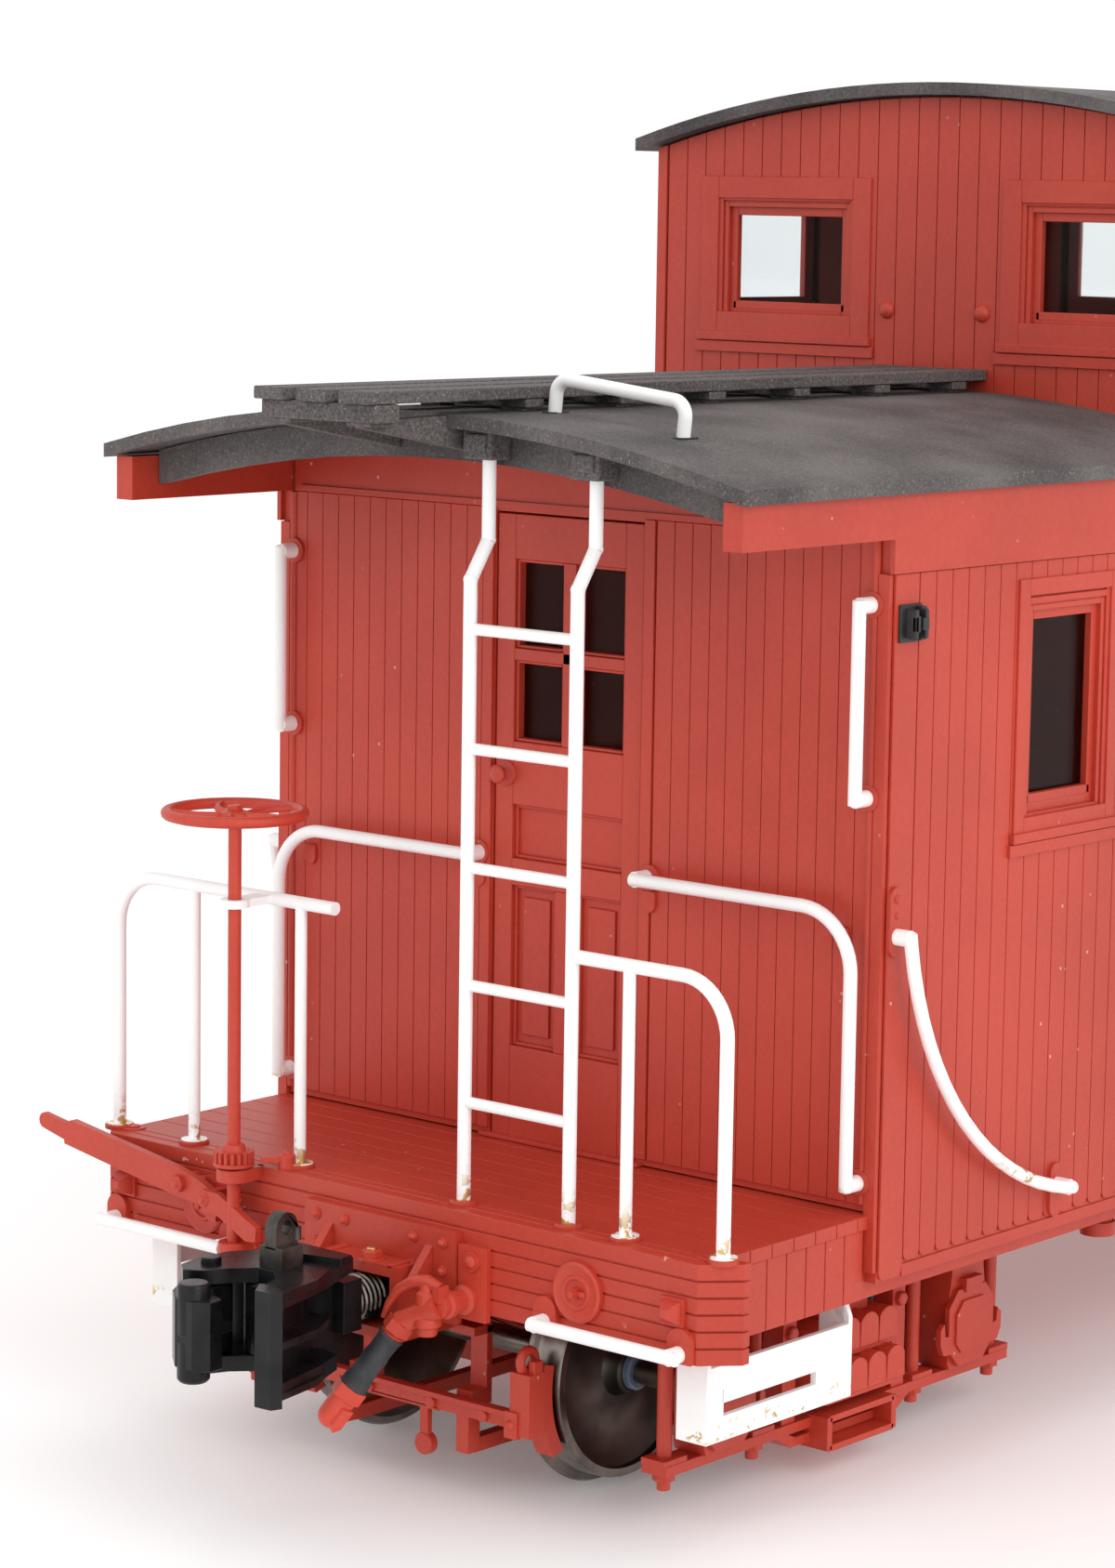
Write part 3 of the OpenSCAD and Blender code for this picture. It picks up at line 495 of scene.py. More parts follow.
# %% [markdown]
# ## Finishes on the carried-over nodes
# Where the mechanical shape is already right, only its finish is set. The record's slots say what
# each node is made of.

# %% Dress the nodes
BY_SLOT = {"body_red": "red_paint", "roof_charcoal": "charcoal_smooth", "rail_white": "white_enamel",
           "coupler_black": "gloss_black", "fitting_black": "satin_black", "hose_rubber": "rubber",
           "wheel_metal": "wheel_dark", "window_clear": "clear_sheet"}
slot_of = {s["node"]: s["material_slot"] for s in frame["record"]["subparts"]}
for name, node in frame["nodes"].items():
    node.data.materials.clear()
    node.data.materials.append(FINISHES[BY_SLOT[slot_of[name]]][0])
print("finishes:", len(FINISHES))


# %% [markdown]
# ## Sizes
# Every place below is worked out from the boxes of the nodes, in millimetres.

# %% Sizes
def span(node):
    low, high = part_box(node)
    return [v / MM for v in low], [v / MM for v in high]


WALL_X, SIDE_Y = span("side_walls")[1][:2]
SKIRT_Z = span("side_walls")[0][2]
DECK_X, DECK_Y, DECK_Z = span("platform_decks")[1]
BEAM_Y = span("end_beams")[1][1]
BEAM_Z = span("end_beams")[0][2]
BEAM_X = DECK_X + 6
DOOR_Y = span("front_door")[1][1]
DOOR_TOP = span("front_door")[1][2]
print("wall end", WALL_X, "beam", BEAM_X, BEAM_Y, BEAM_Z, "deck", DECK_Z)

# %% [markdown]
# ## Roof curves
# Both roofs are arcs of a circle. With a chord and a rise, the height at any distance from the
# centre line follows, so boards can be cut to meet them.

# %% Roof curves
def arc_height(half, crown, rise):
    radius = (half * half + rise * rise) / (2 * rise)
    return lambda y, inset=0.0: crown - radius + math.sqrt((radius - inset) ** 2 - y * y)


ROOF_X, ROOF_Y, ROOF_CROWN = span("main_roof")[1]
CUP_X1 = span("cupola_ends")[0][0]
CUP_X0 = span("cupola_ends")[1][0]
CUP_Y = span("cupola_sides")[1][1]
CUP_TOP = span("cupola_sides")[1][2]
LETTER_Z = span("eave_beams")[0][2]
roof_at = arc_height(ROOF_Y, ROOF_CROWN, 8)
cupola_at = arc_height(CUP_Y + 3, span("cupola_roof")[1][2], 9.5)
WINDOWS = (WALL_X - 44, 40, -72, 44 - WALL_X)
WIN_HALF, WIN_LOW, WIN_HIGH = 10, 98, 130
CUP_WINDOWS = (CUP_X0 / 2 + CUP_X1 / 2 + 26, CUP_X0 / 2 + CUP_X1 / 2 - 26)
CUP_HALF, CUP_WIN_Y, CUP_WIN_LOW, CUP_WIN_HIGH = 13.5, 31.5, 167.5, 188
CUP_REVEAL, CUP_CAP = 4.6, 4.3
CUP_ENDS = (on_end(CUP_X0), shifted(CUP_X1 + CUP_X0, 0, 0) @ TURN @ on_end(CUP_X0))
print("roof edge height", round(roof_at(ROOF_Y), 1), "cupola", CUP_X1, CUP_X0)

# %% [markdown]
# ## Wall boards
# A wooden caboose is sheathed in narrow tongued boards with a bead at each joint; on this model the
# joints are grooves in the moulding. Each board is a separate bevelled block, so every groove has
# two rounded edges that catch the light. The side boards have rounded lower ends over a plain strip.

# %% End wall boards and corner strips
ends = Shape().at(on_end(WALL_X))
pitch, edge = 3.4, SIDE_Y - 2.1
for k in range(12):
    y = edge - (k + 1) * pitch
    ends.block((y + 0.05, DECK_Z + 1.3, -0.3), (y + pitch - 0.05, DOOR_TOP + 0.8, 0.42))
ends.block((DOOR_Y + 0.5, DECK_Z + 1.3, -0.3), (DOOR_Y + 2.5, DOOR_TOP + 0.8, 0.65))
ends.block((SIDE_Y - 2, SKIRT_Z + 1.6, -0.3), (SIDE_Y, LETTER_Z - 0.1, 0.8))
ends.at().rod([(WALL_X + 0.35, SIDE_Y - 2.6, DECK_Z + 1.4), (WALL_X + 0.35, SIDE_Y - 2.6, DOOR_TOP + 0.7)],
              0.62, 10)
ends.both_sides()
ends.at(on_end(WALL_X)).block((-DOOR_Y - 1.6, DECK_Z + 0.1, -0.4), (DOOR_Y + 1.6, DECK_Z + 0.7, 1.3))
ends.both_ends().piece("end_wall_boards", "red_paint", "body", bevel=0.11)

# %% Head moulding along the top of each end wall
head = Shape().at(on_end(WALL_X + 0.7))
reach = SIDE_Y - 4.5
head.block((-reach, DOOR_TOP + 1.0, -0.2), (reach, DOOR_TOP + 1.9, 0.35))
head.both_ends().piece("end_head_moulding", "red_paint", "body", bevel=0)

# %% Side wall boards
sides = Shape().at(on_side(SIDE_Y))
pitch, last = 4.0, WALL_X - 6
foot = SKIRT_Z + 2.2


def side_board(x0, x1, low, high, rounded):
    c = 1.1 if rounded else 0.0
    outline = [(x0, high), (x0, low + c), (x0 + 0.35 * c, low + 0.3 * c), (x0 + c, low),
               (x1 - c, low), (x1 - 0.35 * c, low + 0.3 * c), (x1, low + c), (x1, high)]
    if not rounded:
        outline = [(x0, low), (x1, low), (x1, high), (x0, high)]
    sides.prism(outline, -0.2, 0.4)


x = -last
while x < last - 0.1:
    x0, x1 = x + 0.05, x + pitch - 0.05
    if any(x1 > w - WIN_HALF and x0 < w + WIN_HALF for w in WINDOWS):
        side_board(x0, x1, foot, WIN_LOW - 3, True)
        side_board(x0, x1, WIN_HIGH + 2, LETTER_Z - 0.1, False)
    else:
        side_board(x0, x1, foot, LETTER_Z - 0.1, True)
    x += pitch
for x0, x1 in ((-WALL_X + 0.2, -last - 0.13), (last + 0.13, WALL_X - 0.2)):
    side_board(x0, x1, SKIRT_Z + 0.3, LETTER_Z - 0.1, True)
sides.block((-last, SKIRT_Z, -0.2), (last, foot - 0.3, 0.25))
sides.both_sides().piece("side_wall_boards", "red_paint", "body", bevel=0.1, segments=1)

# %% [markdown]
# ## Windows
# Each window is a casing of flat boards round a recessed sash, over a sill in two steps. Rings of
# four mitreless strips are quick to read and give the stepped shadow lines that a real frame has.

# %% Window frames
def ring(shape, x0, x1, y0, y1, width, a, b):
    """Four strips round a rectangle, width wide inwards, between depths a and b."""
    shape.block((x0, y0, a), (x0 + width, y1, b)).block((x1 - width, y0, a), (x1, y1, b))
    shape.block((x0 + width, y0, a), (x1 - width, y0 + width, b))
    shape.block((x0 + width, y1 - width, a), (x1 - width, y1, b))


def window(shape, x, half, low, high, reveal, cap):
    """Casing, stop bead, recessed sash and a two-step sill round one opening."""
    casing = half + reveal
    ring(shape, x - casing, x + casing, low - 2, high + cap, reveal - 0.9, -0.2, 0.8)
    ring(shape, x - half - 1.1, x + half + 1.1, low - 1.1, high + 1.2, 1.0, -0.4, 0.45)
    ring(shape, x - half, x + half, low, high, 0.9, -1.9, 0.1)
    ring(shape, x - half + 0.8, x + half - 0.8, low + 0.8, high - 0.8, 1.5, -1.9, -0.7)
    shape.block((x - half + 1.5, low + 2.2, -1.9), (x + half - 1.5, low + 3.6, -0.7))
    shape.block((x - casing - 0.5, low - 3.2, -0.2), (x + casing + 0.5, low - 1.7, 1.25))
    shape.block((x - casing - 1, low - 5.2, -0.2), (x + casing + 1, low - 3.3, 0.95))


frames = Shape().at(on_side(SIDE_Y))
for x in WINDOWS:
    window(frames, x, WIN_HALF, WIN_LOW, WIN_HIGH, 3.4, 4)
frames.both_sides().piece("side_windows", "red_paint", "body", bevel=0.14, stands_for=("window_frames",))

cup = Shape()
for y in (-CUP_WIN_Y, CUP_WIN_Y):
    for place in CUP_ENDS:
        cup.at(place)
        window(cup, y, CUP_HALF, CUP_WIN_LOW, CUP_WIN_HIGH, CUP_REVEAL, CUP_CAP)
for mirror in BOTH_SIDES:
    cup.at(mirror, on_side(CUP_Y))
    for x in CUP_WINDOWS:
        window(cup, x, CUP_HALF, CUP_WIN_LOW, CUP_WIN_HIGH, CUP_REVEAL, CUP_CAP)
cup.piece("cupola_windows", "red_paint", "body", bevel=0.16, stands_for=("cupola_window_frames",))

# %% [markdown]
# ## Cupola boards
# The lookout's walls have the same boards, cut to the two roof curves. The side boards stop at the
# eave. Two domed bolts hold the roof walk's end.

# %% Cupola boards
cab = Shape()
pitch = 4.1


def upright(shape, a, b, low, high, gaps, proud):
    """A board from a to b whose ends follow low and high, broken where it meets a window."""
    pieces = [(low, high)]
    for g, half in gaps:
        if b > g - half + 0.2 and a < g + half - 0.2:
            pieces = [(low, lambda t: CUP_WIN_LOW - 3), (lambda t: CUP_WIN_HIGH + 2, high)]
    for under, over in pieces:
        shape.prism([(a, under(a)), (b, under(b)), (b, over(b)), (a, over(a))], -0.2, proud)


for place in CUP_ENDS:
    cab.at(place)
    for k in range(-14, 14):
        a, b = k * pitch + 0.05, (k + 1) * pitch - 0.05
        upright(cab, a, b, lambda t: roof_at(t) - 0.4, lambda t: cupola_at(t, 2) - 0.4,
                [(-CUP_WIN_Y, CUP_HALF), (CUP_WIN_Y, CUP_HALF)], 0.4)
    for s in (-1, 1):
        a, b = sorted((s * 57.6, s * (CUP_Y - 0.05)))
        upright(cab, a, b, lambda t: roof_at(t) - 0.4, lambda t: cupola_at(t, 2) - 0.4, [], 0.7)
        cab.at(place, shifted(s * 9.7, 170.5, 0.3)).dome(1.5, 1.2)
        cab.at(place)
for mirror in BOTH_SIDES:
    cab.at(mirror, on_side(CUP_Y))
    n = int((CUP_X0 - CUP_X1 - 4) / pitch)
    for k in range(n):
        a = CUP_X1 + 2.2 + k * pitch
        upright(cab, a + 0.05, a + pitch - 0.05, lambda t: roof_at(ROOF_Y) + 0.3, lambda t: CUP_TOP - 0.1,
                [(x, CUP_HALF) for x in CUP_WINDOWS], 0.4)
    for a, b in ((CUP_X1, CUP_X1 + 2.1), (CUP_X1 + 2.3 + n * pitch, CUP_X0)):
        upright(cab, a, b, lambda t: roof_at(ROOF_Y) + 0.3, lambda t: CUP_TOP - 0.1, [], 0.7)
cab.piece("cupola_boards", "red_paint", "body", bevel=0.1, segments=1)

# %% [markdown]
# ## Roof walk
# Three loose planks run on saddles along the crown and out past the roof, where a cross cleat and
# two sloping brackets carry them. The brakeman walked here, so the planks stand clear of the roof.

# %% Roof walk
WALK_X = span("roof_walks")[1][0]
WALK_TOP = span("roof_walks")[1][2]
walk = Shape()
plank, gap = 5.6, 8.2
SADDLE_PITCH, SADDLE_HALF = 21, 11


def saddle(x):
    """A cross piece under the planks on its two feet."""
    walk.block((x - 2, -SADDLE_HALF, WALK_TOP - 3.1), (x + 2, SADDLE_HALF, WALK_TOP - 1.85))
    for y in (-8, 8):
        walk.block((x - 1.6, y - 2, roof_at(6) - 0.2), (x + 1.6, y + 2, WALK_TOP - 3))


for k in (-1, 0, 1):
    walk.block((CUP_X0 + 0.5, k * gap - plank / 2, WALK_TOP - 1.8), (WALK_X, k * gap + plank / 2, WALK_TOP))
x = CUP_X0 + 8
while x < ROOF_X - 4:
    saddle(x)
    x += SADDLE_PITCH
walk.block((WALK_X - 6.6, -SADDLE_HALF, WALK_TOP - 4.4), (WALK_X - 1.6, SADDLE_HALF, WALK_TOP - 1.85))
for y in (-7.6, 7.6):
    walk.at(on_side(y - 0.9))
    walk.prism([(WALK_X - 2, WALK_TOP - 4.3), (WALK_X - 2, WALK_TOP - 5.2), (ROOF_X - 7, roof_at(8, 2) - 3.9),
                (ROOF_X - 7, roof_at(8, 2) - 0.6), (ROOF_X + 0.2, WALK_TOP - 3.8)], 0, 1.8)
    walk.at().block((WALK_X - 7.4, y - 2.2, WALK_TOP - 5.0), (WALK_X - 1.8, y + 2.2, WALK_TOP - 4.3))

# The rear walk is a turned copy whose planks run on to the cupola, which stands off centre.
turned_end, rear_end = -CUP_X0 - 0.5, CUP_X1 - 0.5
rear = [Vector((-p.x, -p.y, p.z)) for p in walk.points]
rear = [Vector((rear_end, p.y, p.z)) if abs(p.x - turned_end) < 0.01 else p for p in rear]
walk.at().add(rear, list(walk.faces))
x = CUP_X1 - 8
while x > -CUP_X0 + 4:
    saddle(x)
    x -= SADDLE_PITCH
walk.piece("roof_walk_planks", "charcoal_grained", "body", bevel=0.22, stands_for=("roof_walks",))

# %% Roof edge: brackets and sockets that take the ladder's tops, and flat black patches under the roof grab, painted shade for its slots
sockets = Shape()
for y in (12, 32):
    sockets.block((ROOF_X - 6.9, y - 2.7, roof_at(y, 2) - 4.3), (ROOF_X - 2.4, y + 2.7, roof_at(y, 2) - 0.2))
    sockets.block((ROOF_X - 6, y - 1.9, roof_at(y, 2) - 3.2), (ROOF_X - 1.9, y + 1.9, roof_at(y, 2) - 0.6))
sockets.both_ends().piece("ladder_sockets", "charcoal_grained", "body", bevel=0.35)
# The slots under the roof grab are flat satin-black patches on the roof: painted shade where the openings
# would be dark.
slot_shade = Shape()
for y in (13, 37):
    slot_shade.at(shifted(ROOF_X - 18, y, roof_at(y) - 0.05)).prism(
        circle_points(1.4, 0, 0.9, -90, 90, 8) + circle_points(-1.8, 0, 0.9, 90, 270, 8), 0, 0.16)
slot_shade.at().both_ends().piece("grab_slot_shade", "satin_black", "body", bevel=0)
print("boards, windows, cupola and roof walk")

# %% [markdown]
# ## Platform deck and skirt
# Deck planks lie across the car and their ends show at the side; under them a skirt of short
# upright boards hides the sill. On a real car these were replaced plank by plank.

# %% Deck planks and skirts
deck = Shape()
inner = WALL_X - 1.9
pitch = (DECK_X - inner) / 7
for k in range(7):
    a = inner + k * pitch
    deck.block((a + 0.07, -DECK_Y - 0.9, DECK_Z - 2), (a + pitch - 0.07, DECK_Y + 0.9, DECK_Z))
deck.both_ends().piece("deck_planks", "red_paint", "body", bevel=0.12, stands_for=("platform_decks",))
skirt = Shape()
for k in range(7):
    a = WALL_X + 1.2 + k * 4.5
    skirt.block((a + 0.08, DECK_Y - 1, DECK_Z - 12.4), (a + 4.42, DECK_Y + 0.55, DECK_Z - 2.05))
skirt.both_sides().both_ends().piece("skirt_boards", "red_paint", "body", bevel=0.16)

# %% [markdown]
# ## End beam
# The beam is moulded as six thin layers with chamfered ends, so it reads as laminated timber. Each
# layer is one extruded outline; a slightly smaller core closes the joints between them. Below
# SPLIT_Z the beam is in two halves, with the coupler's draft box in the gap.

# %% End beam layers
CHAMFER = 4.6
SPLIT_Z = 35
beam = Shape()


def beam_layer(inset, z0, z1, split, x0=DECK_X):
    x1, y1, c = BEAM_X - inset, BEAM_Y - inset, CHAMFER
    tip = [(x1, y1 - c), (x1 - c, y1), (x0, y1)]
    if split:
        half = [(x0, 8), (x1, 8)] + tip
        beam.prism(half, z0, z1)
        beam.prism([(x, -y) for x, y in half], z0, z1)
    else:
        beam.prism([(x0, -y1), (x1 - c, -y1), (x1, c - y1)] + tip, z0, z1)


count = 6
layer = (DECK_Z - BEAM_Z) / count
for k in range(count):
    low = BEAM_Z + k * layer
    beam_layer(0, low + (0.12 if k else 0), low + layer - (0.12 if k < count - 1 else 0), low < SPLIT_Z)
beam_layer(0.3, BEAM_Z + 0.2, SPLIT_Z + 0.4, True)
beam_layer(0.3, SPLIT_Z + 0.5, DECK_Z - 0.25, False)
for a, b in ((0.05, 1.9), (2.1, 3.9)):
    beam.block((DECK_X + a, -BEAM_Y + 6, DECK_Z - 0.3), (DECK_X + b, BEAM_Y - 6, DECK_Z + 0.12))
for side in (-1, 1):
    beam.block((DECK_X - 0.1, side * (DECK_Y + 0.9) - 1.4, DECK_Z - 2),
               (DECK_X + 1.6, side * (DECK_Y + 0.9) + 1.4, DECK_Z))
beam.both_ends().piece("end_beam_layers", "red_paint_worn", "body", bevel=0.15, stands_for=("end_beams",))

# %% Brackets that carry the brake staff
STAFF_X, STAFF_Y = BEAM_X + 3.4, -28
brackets = Shape()
for z0, z1, reach in ((DECK_Z - 2, DECK_Z, 2.6), (BEAM_Z + 1, BEAM_Z + 3, 2.3)):
    arc = circle_points(STAFF_X, STAFF_Y, reach, -90, 90, 12)
    hole = circle_points(STAFF_X, STAFF_Y, 1.08, 90, -90, 12)
    brackets.prism([(BEAM_X - 1, STAFF_Y - reach)] + arc + [(BEAM_X - 1, STAFF_Y + reach),
                   (BEAM_X - 1, STAFF_Y + 1.08)] + hole + [(BEAM_X - 1, STAFF_Y - 1.08)], z0, z1)
brackets.both_ends().piece("staff_brackets", "red_metal", "body", bevel=0.16)

# %% [markdown]
# ## Fittings on the beam
# Poling pockets are round cast cups that a pole from the next track pushed against. Truss-rod nuts
# are pyramids on square washers. Rounded tabs carry the white beam grabs.

# %% Poling pockets, nuts, tabs, draft plate bolts
fit = Shape()
pocket = [(0, 0), (4.4, 0), (4.4, 0.75), (4.0, 1.0), (3.5, 0.75), (2.6, 0.7), (2.4, 1.0), (2.0, 0.95),
          (1.7, 0.6), (0, 0.55)]
for s in (-1, 1):
    fit.at(on_end(BEAM_X), shifted(s * 37.2, BEAM_Z + 6.6)).lathe(pocket, 40)
    fit.block((-0.5, -0.75, 0.4), (0.5, 0.75, 1.7)).block((0.3, -0.35, 0.4), (1.9, 0.35, 1.1))
    fit.disc(0.55, 0.5, 2.2, 12)
    fit.at(on_end(BEAM_X), shifted(s * 54.4, BEAM_Z + 7.1)).block((-2, -2, -0.1), (2, 2, 0.6))
    fit.at(on_end(BEAM_X), shifted(s * 54.4, BEAM_Z + 7.1), turned(45, "Z")).lathe(
        [(0, 0.5), (2.3, 0.5), (2.1, 1.3), (0.7, 2.6), (0, 2.7)], 4)
    for y in (31.5, 56):
        fit.at(on_end(BEAM_X), shifted(s * y, BEAM_Z + 1.4))
        fit.prism([(-2.1, -1.3), (2.1, -1.3), (2.1, 1.6)] + circle_points(0, 1.6, 2.1, 0, 180, 12), -0.1,
                  0.95)
    for y, z in ((6.9, 9.6), (6.9, 5.4), (12.6, 9.6), (12.6, 5.4)):
        fit.at(on_end(BEAM_X + 1.5), shifted(s * y, BEAM_Z + z)).disc(0.85, 0, 0.35, 14).dome(0.62, 0.6,
                                                                                              0.3, 12)
    fit.at(shifted(BEAM_X - 4, s * (BEAM_Y - 5.6), DECK_Z)).disc(1.9, -0.1, 0.35, 20).disc(1.0, 0.3, 0.6, 16)
    fit.at(shifted(BEAM_X + 4.4, s * 6.4, 35.5)).block((-3.6, -0.5, -0.2), (1.6, 0.5, 0.25))
fit.at(shifted(BEAM_X + 4.2, 1.2, 35.4)).disc(2.0, -0.1, 0.3, 20).nut(1.6, 0.2, 1.5)
fit.at().both_ends().piece("beam_fittings", "red_metal", "body", bevel=0.12)
screws = Shape().at(shifted(BEAM_X + 4.2, 1.2, 36.7)).disc(0.8, 0, 0.5, 18, 0.15)
screws.at().both_ends().piece("brass_screws", "brass", "body", bevel=0.05)

# %% Flanged feet of the rails and the ladder
feet = Shape()
RAIL_X = BEAM_X - 3.5
for y, r in ((12, 2.1), (32, 2.1), (42.5, 2.3), (60, 2.3), (-60, 2.3), (-43.5, 2.3), (-21, 2.3)):
    feet.at(shifted(RAIL_X, y, DECK_Z)).lathe([(0, -0.1), (r, -0.1), (r, 0.45), (r - 0.35, 0.7), (0, 0.7)],
                                              24)
feet.at().both_ends().piece("rail_feet", "red_paint_worn", "body", bevel=0)

# %% Pads under the wall grabs
pads = Shape()
GRAB_Y = SIDE_Y - 3
SWEEP_R = 52.4
for y, z in ((DOOR_Y + 2.6, 88.3), (GRAB_Y, 48.6), (GRAB_Y, 104.5), (GRAB_Y, 132.1)):
    pads.at(on_end(WALL_X + 0.3), shifted(y, z)).disc(2.0, 0, 0.75, 20)
pads.at(on_end(WALL_X + 0.3), shifted(DOOR_Y + 2.6, 86.3)).prism(
    [(-1.3, 0), (1.3, 0), (1.3, -2)] + circle_points(0, -2, 1.3, 0, -180, 10)[1:], 0, 0.7)
pads.at(on_end(WALL_X + 0.3), shifted(53, 85.4)).prism(
    [(-1.2, 0), (1.2, 0), (1.2, -2)] + circle_points(0, -2, 1.2, 0, -180, 10)[1:], 0, 0.7)
for a in (-80.2, -8.8):
    x = WALL_X - SWEEP_R - 1 + SWEEP_R * math.cos(math.radians(a))
    z = 92.7 + SWEEP_R * math.sin(math.radians(a))
    pads.at(on_side(SIDE_Y + 0.2), shifted(x, z))
    if a < -20:
        pads.prism(circle_points(0, 1.8, 1.6, 0, 180, 10) + circle_points(0, -3.4, 1.6, 180, 360, 10), 0, 0.8)
    else:
        pads.prism(circle_points(0, 5.6, 1.6, 0, 180, 10) + circle_points(0, -1.4, 1.6, 180, 360, 10), 0, 0.8)
        pads.at(on_side(SIDE_Y + 0.9), shifted(x, z + 5.4)).dome(0.7, 0.6).at(
            on_side(SIDE_Y + 0.9), shifted(x, z + 3.0)).dome(0.55, 0.5)
pads.at().both_sides().both_ends().piece("grab_pads", "red_paint", "body", bevel=0.18)

# %% [markdown]
# ## Uncoupling lever
# A flat bar along the beam, worked from the side of the car, lifts the coupler's pin. Its handle is
# slimmer than the bar, and the short inner arm is set lower, hung from the same pivot.

# %% Uncoupling lever
lever = Shape()
X0, X1 = BEAM_X + 2.2, BEAM_X + 3.5
Y_END = span("cut_levers")[0][1]
place = on_end(0)
lever.at(place)
lever.prism([(Y_END + 6.0, 41.7), (-41, 37.7), (-36.2, 37.1), (-33.4, 37.0), (-32.6, 39.7), (-36, 41.0),
             (-41, 42.2), (Y_END + 7.5, 45.6), (Y_END + 5.6, 44.9)], X0, X1)
lever.prism([(Y_END + 6.4, 42.1), (Y_END + 6.4, 44.9), (Y_END + 1.1, 45.8)]
            + circle_points(Y_END + 1.3, 44.6, 1.25, 100, 270, 8) + [(Y_END + 1.4, 43.3)], X0 + 0.1, X1 - 0.2)
lever.prism([(-34, 36.4), (-30.4, 36.2), (-24.6, 33.4), (-22.6, 33.6), (-22.4, 35.8), (-24.0, 36.5),
             (-30.6, 39.7), (-34, 39.7)], X1 - 0.3, X1 + 0.8)
for y, z in ((-39.4, 39.7), (-33.6, 38.3)):
    lever.at(place, shifted(y, z, X1 - 0.1)).nut(1.35, 0, 1.2).dome(0.7, 0.5, 1.1, 12)
    lever.at(place, shifted(y, z, BEAM_X - 0.2)).disc(1.4, 0, X0 - BEAM_X + 0.4, 18)
lever.at(place).block((-36.4, 34.6, BEAM_X - 0.2), (-31.2, 41.0, BEAM_X + 1.1))
lever.at(place).block((-33.2, 35.0, BEAM_X), (-31.6, 39.8, X1 + 0.1))
lever.at().both_ends().piece("uncoupling_lever", "red_metal", "body", bevel=0.22, stands_for=("cut_levers",))
print("deck, beam and fittings")

# %% [markdown]
# ## Doors
# A panelled door with four lights: two stiles, five rails and a mullion over thinner panels, so
# every reveal is real depth. Both doors ride with their hinges.

# %% Doors
def door(body, turn):
    place = turn @ on_end(WALL_X)
    leaf = Shape().at(place)
    y, low, top = DOOR_Y, span(body)[0][2], DOOR_TOP
    back, face = -2.0, 0.0
    light = 10.9
    rails = [(low, low + 14.2), (83.8, 88), (96.3, 106), (118.5, 120.3), (133.9, top)]
    leaf.block((-y, low, back), (-light, top, face)).block((light, low, back), (y, top, face))
    for a, b in rails:
        leaf.block((-light, a, back), (light, b, face))
    leaf.block((-1.2, 106, back), (1.2, 133.9, face))
    leaf.block((-2.1, low + 14.2, back), (2.1, 83.8, face))
    leaf.block((-light - 0.3, low + 13, back), (light + 0.3, 97, back + 0.7))
    for s in (-1, 1):
        a, b = sorted((s * 2.1, s * light))
        ring(leaf, a, b, low + 14.2, 83.8, 0.55, back, -0.7)
        for z0, z1 in ((106, 118.5), (120.3, 133.9)):
            c, d = sorted((s * 1.2, s * light))
            ring(leaf, c, d, z0, z1, 0.5, back, -0.5)
        leaf.block((a + 1.7, low + 16, back), (b - 1.7, 82, -0.85))
    ring(leaf, -light, light, 88, 96.3, 0.55, back, -0.7)
    knob = [(0, -0.2), (2.0, -0.2), (2.0, 0.3), (1.2, 0.5), (0.75, 0.8), (0.7, 1.5), (1.45, 1.9), (1.5, 2.3),
            (1.1, 2.6), (0, 2.7)]
    leaf.at(place, shifted(-y + 2.2, 101)).lathe(knob, 24)
    leaf.piece(body + "_leaf", "red_paint", body, bevel=0.16, stands_for=(body,))


for end, turn in BOTH_ENDS:
    door(end + "_door", turn)

# %% [markdown]
# ## Brake wheel
# The wheel tops a staff that runs down through two brackets. A ratchet wheel at deck height and its
# pawl hold the brake on. Everything that turns rides with the staff, and the pawl stays put.

# %% Brake wheel, staff, ratchet and pawl
def brake_wheel(body, turn):
    low, high = span(body)
    z = high[2] - 1.7
    wheel = Shape().at(turn, shifted(STAFF_X, STAFF_Y, 0))
    wheel.rod([(0, 0, low[2] + 0.6), (0, 0, z)], 1.0, 16).disc(1.5, low[2], low[2] + 1.2, 6)
    wheel.disc(3.1, DECK_Z + 0.35, DECK_Z + 0.95, 28).disc(2.5, DECK_Z + 0.9, DECK_Z + 2.7, 24)
    wheel.lathe([(1.0, DECK_Z + 2.6), (1.9, DECK_Z + 2.6), (1.6, DECK_Z + 3.6), (1.0, DECK_Z + 3.8)], 20)
    wheel.lathe([(0, z - 1.5), (1.6, z - 1.5), (2.3, z - 0.7), (2.3, z + 0.6), (1.5, z + 0.9),
                 (0, z + 0.9)], 24)
    wheel.nut(1.2, z + 0.8, z + 1.7)
    rim = [(10.1 * math.cos(a * math.tau / 48), 10.1 * math.sin(a * math.tau / 48),
            z + 0.5) for a in range(48)]
    wheel.rod(rim, 0.85, 12, close=True)
    for k in range(5):
        wheel.at(turn, shifted(STAFF_X, STAFF_Y, 0), turned(72 * k + 20, "Z"))
        bow = [(1.6 + 8.3 * t / 8, 1.5 * math.sin(math.pi * t / 8), z + 0.1 + 0.4 * t / 8) for t in range(9)]
        wheel.rod(bow, 0.55, 10)
    for k in range(18):
        wheel.at(turn, shifted(STAFF_X, STAFF_Y, 0), turned(20 * k, "Z")).prism(
            [(2.3, -0.42), (3.05, -0.2), (3.05, 0.3), (2.3, 0.42)], DECK_Z + 0.95, DECK_Z + 2.65)
    wheel.piece(body + "_turned", "red_metal", body, bevel=0.08, segments=1, stands_for=(body,))


